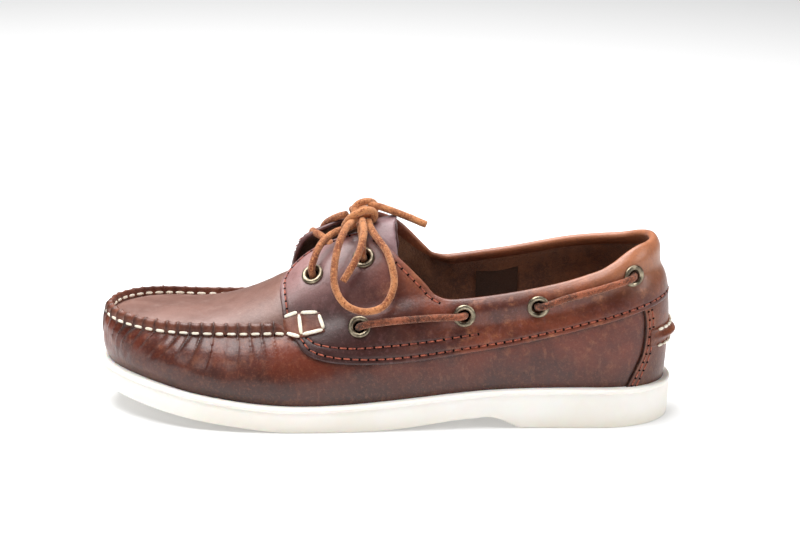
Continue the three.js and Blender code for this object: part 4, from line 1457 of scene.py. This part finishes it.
TAB_BARS = [
    [(0.605, 0.404), (0.622, 0.405), (0.640, 0.400)],
    [(0.645, 0.400), (0.656, 0.412), (0.666, 0.440)],
    [(0.604, 0.415), (0.608, 0.46), (0.613, 0.512)],
    [(0.616, 0.525), (0.630, 0.538), (0.644, 0.547)],
    [(0.650, 0.552), (0.661, 0.556), (0.671, 0.545)],
    [(0.645, 0.408), (0.645, 0.475), (0.650, 0.544)],
]


def tab_seams():
    """One white bar along each edge of the strap tabs, and one across them"""
    out = []
    for side in (OUTER, INNER):
        for line in TAB_BARS:
            fine = on_form(side, line, 20)
            p = on_skin(side, fine, SADDLE_LIFT + 1.15)
            out.append(seam(p, skin_normal(side, fine), run_of(p)[-1], 1.0, THREAD_LIFT))
    return out


def heel_seams():
    """White stitches along the kicker's two edges"""
    out = []
    for z in (40.9, 49.6):
        face, normal = heel_strip(lambda k: z, lambda k: z, 8.0, KICKER_LIFT + 0.4, 0.0, HEEL_STEPS, 2)
        out.append(seam(face[:, 0], normal[:, 0], 5.2, 0.74, THREAD_LIFT))
    return out


# ---------------------------------------------------------------- materials


WARM_FROM = (-0.03, 0.02)
# Heights in metres over which the painted highlight on the saddle's front fades in
PAINTED_HIGHLIGHT_Z = (0.055, 0.085)


def colour(hexa):
    """Linear colour from a six-figure screen colour"""
    part = [int(hexa[i:i + 2], 16) / 255 for i in (0, 2, 4)]
    return [c / 12.92 if c <= 0.04045 else ((c + 0.055) / 1.055) ** 2.4 for c in part] + [1.0]


class Paint:
    """A small helper that wires one procedural material"""

    def __init__(self, name, **values):
        self.material = bpy.data.materials.new(name)
        self.material.use_nodes = True
        self.tree = self.material.node_tree
        self.shader = self.tree.nodes["Principled BSDF"]
        for key, value in values.items():
            self.set(key, value)
        self.place = self.tree.nodes.new("ShaderNodeTexCoord").outputs["Object"]

    def set(self, key, value):
        self.shader.inputs[key.replace("_", " ")].default_value = value

    def link(self, a, b):
        self.tree.links.new(a, b)

    def noise(self, scale, detail=4.0, rough=0.55, distort=0.0, stretch=None, where=None):
        node = self.tree.nodes.new("ShaderNodeTexNoise")
        node.inputs["Scale"].default_value = scale
        node.inputs["Detail"].default_value = detail
        node.inputs["Roughness"].default_value = rough
        node.inputs["Distortion"].default_value = distort
        source = where or self.place
        if stretch:
            mapping = self.tree.nodes.new("ShaderNodeMapping")
            mapping.inputs["Scale"].default_value = stretch
            self.link(source, mapping.inputs["Vector"])
            source = mapping.outputs["Vector"]
        self.link(source, node.inputs["Vector"])
        return node.outputs["Fac"]

    def cells(self, scale, feature="F1", random=1.0, where=None):
        node = self.tree.nodes.new("ShaderNodeTexVoronoi")
        node.feature = feature
        node.inputs["Scale"].default_value = scale
        node.inputs["Randomness"].default_value = random
        self.link(where or self.place, node.inputs["Vector"])
        return node.outputs["Distance"]

    def ramp(self, value, low, high, out_low=0.0, out_high=1.0, clamp=True):
        node = self.tree.nodes.new("ShaderNodeMapRange")
        node.interpolation_type = "SMOOTHSTEP"
        for key, number in (("From Min", low), ("From Max", high), ("To Min", out_low), ("To Max", out_high)):
            node.inputs[key].default_value = number
        self.link(value, node.inputs["Value"])
        return node.outputs["Result"]

    def clouds(self, scale, detail, rough, low, high, **more):
        """Noise turned to a soft mask between two of its levels"""
        return self.ramp(self.noise(scale, detail, rough, **more), low, high)

    def both(self, a, b):
        return self.math("MULTIPLY", a, b)

    def tint(self, base, mask, share, hexa):
        """Lay a colour over base, by a share of a mask"""
        return self.mix(self.both(mask, share), base, colour(hexa))

    def axis(self, index):
        node = self.tree.nodes.new("ShaderNodeSeparateXYZ")
        self.link(self.place, node.inputs["Vector"])
        return node.outputs[index]

    def own(self, name):
        node = self.tree.nodes.new("ShaderNodeAttribute")
        node.attribute_name = name
        return node.outputs["Fac"]

    def math(self, operation, a, b=None):
        node = self.tree.nodes.new("ShaderNodeMath")
        node.operation = operation
        for socket, value in zip(node.inputs, (a, b)):
            if value is None:
                continue
            if isinstance(value, (int, float)):
                socket.default_value = value
            else:
                self.link(value, socket)
        return node.outputs[0]

    def mix(self, factor, a, b, mode="MIX"):
        node = self.tree.nodes.new("ShaderNodeMix")
        node.data_type = "RGBA"
        node.blend_type = mode
        if isinstance(factor, (int, float)):
            node.inputs["Factor"].default_value = factor
        else:
            self.link(factor, node.inputs["Factor"])
        for socket, value in ((node.inputs["A"], a), (node.inputs["B"], b)):
            if isinstance(value, (list, tuple)):
                socket.default_value = value
            else:
                self.link(value, socket)
        return node.outputs["Result"]

    def bump(self, height, distance, strength=1.0, before=None):
        node = self.tree.nodes.new("ShaderNodeBump")
        node.inputs["Distance"].default_value = distance
        node.inputs["Strength"].default_value = strength
        self.link(height, node.inputs["Height"])
        if before is not None:
            self.link(before, node.inputs["Normal"])
        return node.outputs["Normal"]

    def finish(self, base=None, rough=None, normal=None):
        for value, key in ((base, "Base Color"), (rough, "Roughness"), (normal, "Normal")):
            if value is not None:
                self.link(value, self.shader.inputs[key])
        return self.material


def leather(
    name, deep, middle, pale, warm=None, high=None, painted_low_shade=True, creases=1.0, coat=0.3, gloss=0.3,
):
    """Oiled pull-up leather: mottled, paler where it is stretched, finely grained.

    warm colours take over from front to back. high colours are a painted highlight over the near side's front
    towards the top; the saddle also gets a painted highlight along the collar's top and painted shade low
    towards its front, and the leather takes painted shade near the sole and where a piece's shade marks say.
    """
    p = Paint(name, Coat_Weight=coat, Coat_Roughness=gloss, Sheen_Weight=0.08, Sheen_Roughness=0.45,
              Sheen_Tint=(0.9, 0.78, 0.76, 1.0), Specular_IOR_Level=0.38)
    cloud = p.clouds(38, 9, 0.66, 0.36, 0.64)
    base = p.mix(cloud, colour(deep), colour(middle))
    wisp = p.clouds(120, 8, 0.75, 0.50, 0.74)
    base = p.tint(base, wisp, 0.34, pale)
    # Painted highlight: a pale lilac tone over the near side's front, towards the top, stands in for the
    # light on it.
    if high:
        tone = p.mix(cloud, colour(high[0]), colour(high[1]))
        ahead, near = p.ramp(p.axis(0), -0.060, -0.022, 1.0, 0.3), p.ramp(p.axis(1), -0.002, 0.006, 1.0, 0.2)
        front = p.both(ahead, near)
        base = p.mix(p.both(p.ramp(p.axis(2), *PAINTED_HIGHLIGHT_Z), front), base, tone)
    if warm:
        tone = p.tint(p.mix(cloud, colour(warm[0]), colour(warm[1])), wisp, 0.6, warm[2])
        base = p.mix(p.ramp(p.axis(0), *WARM_FROM), base, tone)
        # Painted highlight: lighter tan along the top of the collar towards the heel.
        bright = p.both(p.ramp(p.axis(2), 0.063, 0.090), p.ramp(p.axis(0), 0.0, 0.03))
        base = p.tint(base, bright, 0.65, warm[2])
        # Painted shade: the saddle darkens low down towards its front.
        under = p.both(p.ramp(p.axis(2), 0.046, 0.072, 0.85, 0.0), p.ramp(p.axis(0), 0.0, 0.05, 1.0, 0.0))
        base = p.mix(under, base, colour("2e0d08"))
    # Painted shade: darker towards the bottom, near the sole.
    if painted_low_shade:
        base = p.mix(p.ramp(p.axis(2), 0.018, 0.045, 0.7, 0.0), base, colour("30150c"))
    # Painted shade: each piece's shade marks darken it towards black-brown.
    base = p.tint(base, p.own("painted_shade"), 0.9, "1c0905")
    base = p.tint(base, p.clouds(640, 3, 0.85, 0.50, 0.68), 0.16, pale)
    base = p.tint(base, p.clouds(800, 3, 0.85, 0.50, 0.68), 0.26, deep)
    scratch = p.clouds(150, 3, 0.5, 0.62, 0.70, stretch=(1.6, 1.0, 0.6))
    base = p.tint(base, scratch, 0.12, pale)
    normal = p.bump(p.noise(90, 6, 0.66, stretch=(1.0, 1.0, 0.5)), 0.0014 * creases, 0.4)
    normal = p.bump(p.noise(520, 6, 0.72), 0.0005, 0.38, normal)
    normal = p.bump(p.cells(1150), 0.0002, 0.3, normal)
    return p.finish(base, p.ramp(p.noise(60, 5, 0.6), 0.3, 0.7, 0.36, 0.52), normal)


def suede(name, deep, pale, fleck=0.35, nap=1.0):
    """Flesh side of leather: matt, with short nap and speckles"""
    p = Paint(name, Roughness=0.92, Sheen_Weight=0.35, Sheen_Roughness=0.6,
              Sheen_Tint=(1.0, 0.85, 0.7, 1.0), Specular_IOR_Level=0.15)
    base = p.mix(p.clouds(55, 5, 0.65, 0.35, 0.66), colour(deep), colour(pale))
    base = p.tint(base, p.clouds(750, 4, 0.8, 0.50, 0.58), fleck, pale)
    base = p.tint(base, p.clouds(640, 4, 0.8, 0.54, 0.62), fleck, deep)
    return p.finish(base, None, p.bump(p.noise(800, 5, 0.8), 0.0008 * nap, 0.8))


def rubber():
    """Off-white moulded rubber, a little smudged, with painted shade making it greyer near the ground"""
    p = Paint("Sole rubber", Roughness=0.48, Specular_IOR_Level=0.35,
              Subsurface_Weight=0.15, Subsurface_Scale=0.004)
    base = p.mix(p.clouds(18, 4, 0.6, 0.3, 0.7), colour("f4efe6"), colour("fbf8f2"))
    # Painted shade: greyer at the foot of the sole, near the ground.
    base = p.mix(p.ramp(p.axis(2), 0.0, 0.010, 0.5, 0.0), base, colour("ece4d4"))
    base = p.tint(base, p.clouds(140, 5, 0.7, 0.62, 0.78), 0.12, "c9bda4")
    return p.finish(base, None, p.bump(p.noise(420, 4, 0.6), 0.0002, 0.25))


def brass():
    p = Paint("Antique brass", Metallic=1.0, Roughness=0.36)
    base = p.mix(p.clouds(260, 4, 0.6, 0.35, 0.7), colour("6e6455"), colour("b0a48c"))
    normal = p.bump(p.noise(700, 3, 0.6), 0.00008, 0.3)
    return p.finish(base, p.ramp(p.noise(300, 3, 0.5), 0.3, 0.7, 0.28, 0.46), normal)


def thread(name, low, high):
    p = Paint(name, Roughness=0.7, Sheen_Weight=0.2)
    base = p.mix(p.clouds(500, 3, 0.6, 0.35, 0.65), colour(low), colour(high))
    return p.finish(base, None, p.bump(p.noise(1500, 2, 0.5), 0.0003, 0.6))


def hole(name, shade):
    """Painted shade: dull darkness standing in for the shade inside an eyelet or a needle hole"""
    p = Paint(name, Roughness=0.9, Specular_IOR_Level=0.1)
    return p.finish(p.mix(p.clouds(300, 3, 0.5, 0.3, 0.7), colour(shade), colour("0a0605")))


def materials():
    """Every material by name, made once"""
    made = bpy.data.materials
    if "Sole rubber" in made:
        return {m.name: m for m in made}
    leather("Vamp leather", "441509", "6d2a14", "b4704e", coat=0.45, gloss=0.22)
    leather("Ridge leather", "4c2013", "6f3a26", "a87258", painted_low_shade=False, coat=0.25, gloss=0.35)
    # Painted light: the plug's paler, greyer base stands in for the light on its top.
    leather("Plug leather", "6b4539", "80594d", "a6887d", painted_low_shade=False, creases=0.6, coat=0.5, gloss=0.5)
    leather(
        # The saddle's high colours are its painted highlight.
        "Saddle leather", "36120e", "50231c", "93686a", warm=("4a1c0f", "7c391f", "c07c54"),
        high=("93625f", "c29896"), painted_low_shade=False, coat=0.45, gloss=0.34)
    leather("Counter leather", "5e2913", "8c4a2a", "ba7e5a", coat=0.2)
    # Painted highlight: the tongue's pale base stands in for the light on its face.
    leather("Tongue leather", "694a4d", "87686a", "ab9294", painted_low_shade=False, creases=0.8)
    suede("Lining suede", "54332a", "80543a", 0.6)
    suede("Patch leather", "2a130c", "3c2015", 0.2)
    suede("Bow rawhide", "7a3416", "d08a58", 0.9, 1.5)
    suede("Collar rawhide", "40160b", "a4583a", 0.9, 1.5)
    leather("Sock leather", "7a4c2c", "946138", "b58256", painted_low_shade=False, creases=0.5)
    rubber()
    brass()
    thread("White thread", "e6dcc4", "f6efdf")
    thread("Rust thread", "6a2616", "b0583c")
    hole("Hole", "120a08")
    return {m.name: m for m in made}


# ---------------------------------------------------------------- stage


CAMERA = {
    "distance": 1.5, "elevation": 15.0, "roll": 1.05, "target": (0.0069, 0.0023, 0.0745), "lens": 129.0,
}
FLOOR = [(-3, -2, 0), (3, -2, 0), (3, 4, 0), (-3, 4, 0)]
FLOOR_GREY = (0.66, 0.66, 0.66, 1)
# along each axis of the view from the middle: the range that fades and its two strengths
SKY = [("Z", -0.05, 0.8, 0.12, 0.9), ("Y", -0.25, 0.6, 0.0, 1.1)]
# name, place, aim, size in metres, and power as a share of the overhead panel's
LAMPS = [
    ("Overhead", (-0.25, 0.15, 1.15), (0, 0, 0.05), (1.5, 1.1), 1.0),
    ("Front", (-0.9, -1.5, 1.0), (0, 0, 0.05), (0.7, 0.7), 0.12),
    ("Right", (1.3, -0.5, 0.8), (0.05, 0, 0.05), (0.5, 0.8), 0.24),
]


def build_floor(glow):
    mesh = bpy.data.meshes.new("Floor")
    mesh.from_pydata(FLOOR, [], [(0, 1, 2, 3)])
    floor = bpy.data.objects.new("Floor", mesh)
    bpy.context.scene.collection.objects.link(floor)
    paper = bpy.data.materials.new("Floor")
    paper.use_nodes = True
    shader = paper.node_tree.nodes["Principled BSDF"]
    for key, value in (
        ("Base Color", FLOOR_GREY), ("Roughness", 0.9), ("Specular IOR Level", 0.0),
        ("Emission Color", (1, 1, 1, 1)), ("Emission Strength", glow),
    ):
        shader.inputs[key].default_value = value
    mesh.materials.append(paper)


def build_sky(strength):
    """Light all round that grows towards the top and the back"""
    studio = bpy.data.worlds.new("Studio")
    bpy.context.scene.world = studio
    studio.use_nodes = True
    nodes, links = studio.node_tree.nodes, studio.node_tree.links
    split = nodes.new("ShaderNodeSeparateXYZ")
    links.new(nodes.new("ShaderNodeTexCoord").outputs["Generated"], split.inputs["Vector"])
    total, glow = nodes.new("ShaderNodeMath"), nodes.new("ShaderNodeMath")
    total.operation, glow.operation = "ADD", "MULTIPLY"
    glow.inputs[1].default_value = strength
    for i, (axis, low, high, dim, bright) in enumerate(SKY):
        fade = nodes.new("ShaderNodeMapRange")
        for key, number in (("From Min", low), ("From Max", high), ("To Min", dim), ("To Max", bright)):
            fade.inputs[key].default_value = number
        links.new(split.outputs[axis], fade.inputs["Value"])
        links.new(fade.outputs["Result"], total.inputs[i])
    links.new(total.outputs[0], glow.inputs[0])
    links.new(glow.outputs[0], nodes["Background"].inputs["Strength"])


def build_lamps(power):
    for name, where, aim, size, share in LAMPS:
        data = bpy.data.lights.new(name, "AREA")
        data.shape = "RECTANGLE"
        data.size, data.size_y = size
        data.energy = power * share
        lamp = bpy.data.objects.new(name, data)
        lamp.location = where
        lamp.rotation_euler = (Vector(aim) - Vector(where)).to_track_quat("-Z", "Y").to_euler()
        bpy.context.scene.collection.objects.link(lamp)


def build_camera():
    data = bpy.data.cameras.new("Camera")
    data.lens = CAMERA["lens"]
    data.sensor_width = 36
    data.dof.use_dof = False
    camera = bpy.data.objects.new("Camera", data)
    tilt, roll = math.radians(CAMERA["elevation"]), math.radians(CAMERA["roll"])
    back = Vector((0, -math.cos(tilt), math.sin(tilt)))
    right = Vector((1, 0, 0))
    up = back.cross(right)
    across = right * math.cos(roll) + up * math.sin(roll)
    above = -right * math.sin(roll) + up * math.cos(roll)
    place = Matrix.Translation(Vector(CAMERA["target"]) + back * CAMERA["distance"])
    camera.matrix_world = place @ Matrix((across, above, back)).transposed().to_4x4()
    bpy.context.scene.collection.objects.link(camera)
    bpy.context.scene.camera = camera


def build_stage(settings):
    """Floor, light all round, three panels, camera and render settings"""
    build_floor(settings.floor_glow)
    build_sky(settings.ambient)
    build_lamps(settings.overhead)
    build_camera()
    scene = bpy.context.scene
    scene.render.engine = "CYCLES"
    scene.render.resolution_x, scene.render.resolution_y = 800, 534
    scene.view_settings.view_transform = "Standard"
    scene.view_settings.look = "None"
    scene.view_settings.exposure = settings.exposure


# ---------------------------------------------------------------- add-on


class StageSettings(bpy.types.PropertyGroup):
    """Light and floor"""

    ambient: bpy.props.FloatProperty(
        name="Ambient", description="Strength of the light all round", default=0.42, min=0.0)
    overhead: bpy.props.FloatProperty(
        name="Overhead", description="Power of the overhead panel in watts", default=38.0, min=0.0)
    floor_glow: bpy.props.FloatProperty(
        name="Floor glow", description="Light given by the floor", default=0.25, min=0.0)
    exposure: bpy.props.FloatProperty(
        name="Exposure", description="Exposure of the view in stops", default=0.0)


class ThreadSettings(bpy.types.PropertyGroup):
    """Stitching"""

    fine_pitch: bpy.props.FloatProperty(
        name="Fine pitch", description="Distance between the fine stitches in millimetres",
        default=4.4, min=0.5)
    fine_thickness: bpy.props.FloatProperty(
        name="Fine thickness", description="Thickness of the fine thread in millimetres",
        default=0.75, min=0.1)
    hand_thickness: bpy.props.FloatProperty(
        name="Hand thickness", description="Thickness of the white hand thread in millimetres",
        default=1.35, min=0.1)
    seed: bpy.props.IntProperty(name="Seed", description="Variation of the stitches", default=3)


class SHOE_OT_saddle(bpy.types.Operator):
    """Build the two saddles with their collars, and the lining behind them"""

    bl_idname = "shoe.saddle"
    bl_label = "Saddles and lining"

    def execute(self, context):
        look = materials()
        build_saddle(OUTER, "saddle_band_outer", "saddle_outer", look["Saddle leather"])
        build_saddle(INNER, "saddle_band_inner", "saddle_inner", look["Saddle leather"])
        build_lining(look["Lining suede"])
        build_patch(look["Patch leather"])
        return {"FINISHED"}


class SHOE_OT_vamp(bpy.types.Operator):
    """Build the gathered vamp, its plug and the tongue"""

    bl_idname = "shoe.vamp"
    bl_label = "Vamp and tongue"

    def execute(self, context):
        look = materials()
        build_vamp(look["Vamp leather"], look["Ridge leather"])
        build_plug(look["Plug leather"])
        build_tongue(look["Tongue leather"])
        return {"FINISHED"}


class SHOE_OT_heel(bpy.types.Operator):
    """Build the heel counter, its kicker and the strap tabs"""

    bl_idname = "shoe.heel"
    bl_label = "Counter, kicker and tabs"

    def execute(self, context):
        look = materials()
        build_counter(look["Counter leather"])
        build_kicker(look["Counter leather"])
        build_tab(look["Ridge leather"])
        return {"FINISHED"}


class SHOE_OT_sole(bpy.types.Operator):
    """Build the cup sole and the sock inside"""

    bl_idname = "shoe.sole"
    bl_label = "Sole and sock"

    def execute(self, context):
        look = materials()
        build_sole(look["Sole rubber"])
        build_insole(look["Sock leather"])
        return {"FINISHED"}


class SHOE_OT_laces(bpy.types.Operator):
    """Build the eyelets, the collar lace and the bow"""

    bl_idname = "shoe.laces"
    bl_label = "Eyelets and laces"

    def execute(self, context):
        look = materials()
        build_eyelets(look["Antique brass"], look["Hole"])
        build_side_bars(look["Collar rawhide"])
        build_bow(look["Bow rawhide"])
        return {"FINISHED"}


class SHOE_OT_stitching(bpy.types.Operator):
    """Sew the fine rust-red seams and the white hand stitches"""

    bl_idname = "shoe.stitching"
    bl_label = "Stitching"

    def execute(self, context):
        look = materials()
        own = context.scene.shoe_thread
        tree = stitch_tree()
        fine = fine_seams()
        stitches(
            "fine_stitches", tree, [seam(p, n, own.fine_pitch, 0.8, -0.1) for p, n in fine],
            own.fine_thickness, 0.85, look["Rust thread"], own.seed)
        # Needle holes and seam holes are dark marks of painted shade.
        stitches(
            "needle_holes", tree, [between_stitches(p, n, own.fine_pitch, -0.34) for p, n in fine],
            NEEDLE_HOLE, 1.0, look["Hole"], own.seed + 1)
        stitches(
            "seam_holes", tree, seam_holes(), SEAM_HOLE, 0.5,
            look["Hole"], own.seed + 3)
        stitches(
            "tab_stitches", tree, tab_seams(), own.hand_thickness * 1.3, 0.9,
            look["White thread"], own.seed + 5)
        stitches(
            "hand_stitches", tree, hand_seams() + heel_seams(),
            own.hand_thickness, 0.95, look["White thread"], own.seed + 2)
        return {"FINISHED"}


class SHOE_OT_stage(bpy.types.Operator):
    """Set the floor, the lights and the camera"""

    bl_idname = "shoe.stage"
    bl_label = "Stage"

    def execute(self, context):
        build_stage(context.scene.shoe_stage)
        return {"FINISHED"}


class SHOE_PT_panel(bpy.types.Panel):
    """Build the shoe piece by piece"""

    bl_label = "Boat shoe"
    bl_idname = "SHOE_PT_panel"
    bl_space_type = "VIEW_3D"
    bl_region_type = "UI"
    bl_category = "Boat shoe"

    def draw(self, context):
        layout = self.layout
        for operator in BUILDERS:
            layout.operator(operator.bl_idname)
        for group in (context.scene.shoe_stage, context.scene.shoe_thread):
            for key in group.__annotations__:
                layout.prop(group, key)


BUILDERS = (
    SHOE_OT_sole, SHOE_OT_vamp, SHOE_OT_saddle, SHOE_OT_heel, SHOE_OT_laces, SHOE_OT_stitching, SHOE_OT_stage,
)
CLASSES = (StageSettings, ThreadSettings) + BUILDERS + (SHOE_PT_panel,)


def register():
    for item in CLASSES:
        bpy.utils.register_class(item)
    bpy.types.Scene.shoe_stage = bpy.props.PointerProperty(type=StageSettings)
    bpy.types.Scene.shoe_thread = bpy.props.PointerProperty(type=ThreadSettings)


def unregister():
    del bpy.types.Scene.shoe_thread
    del bpy.types.Scene.shoe_stage
    for item in reversed(CLASSES):
        bpy.utils.unregister_class(item)


def main():
    register()
    bpy.ops.shoe.sole()
    bpy.ops.shoe.vamp()
    bpy.ops.shoe.saddle()
    bpy.ops.shoe.heel()
    bpy.ops.shoe.laces()
    bpy.ops.shoe.stitching()
    bpy.ops.shoe.stage()


if __name__ == "__main__":
    main()
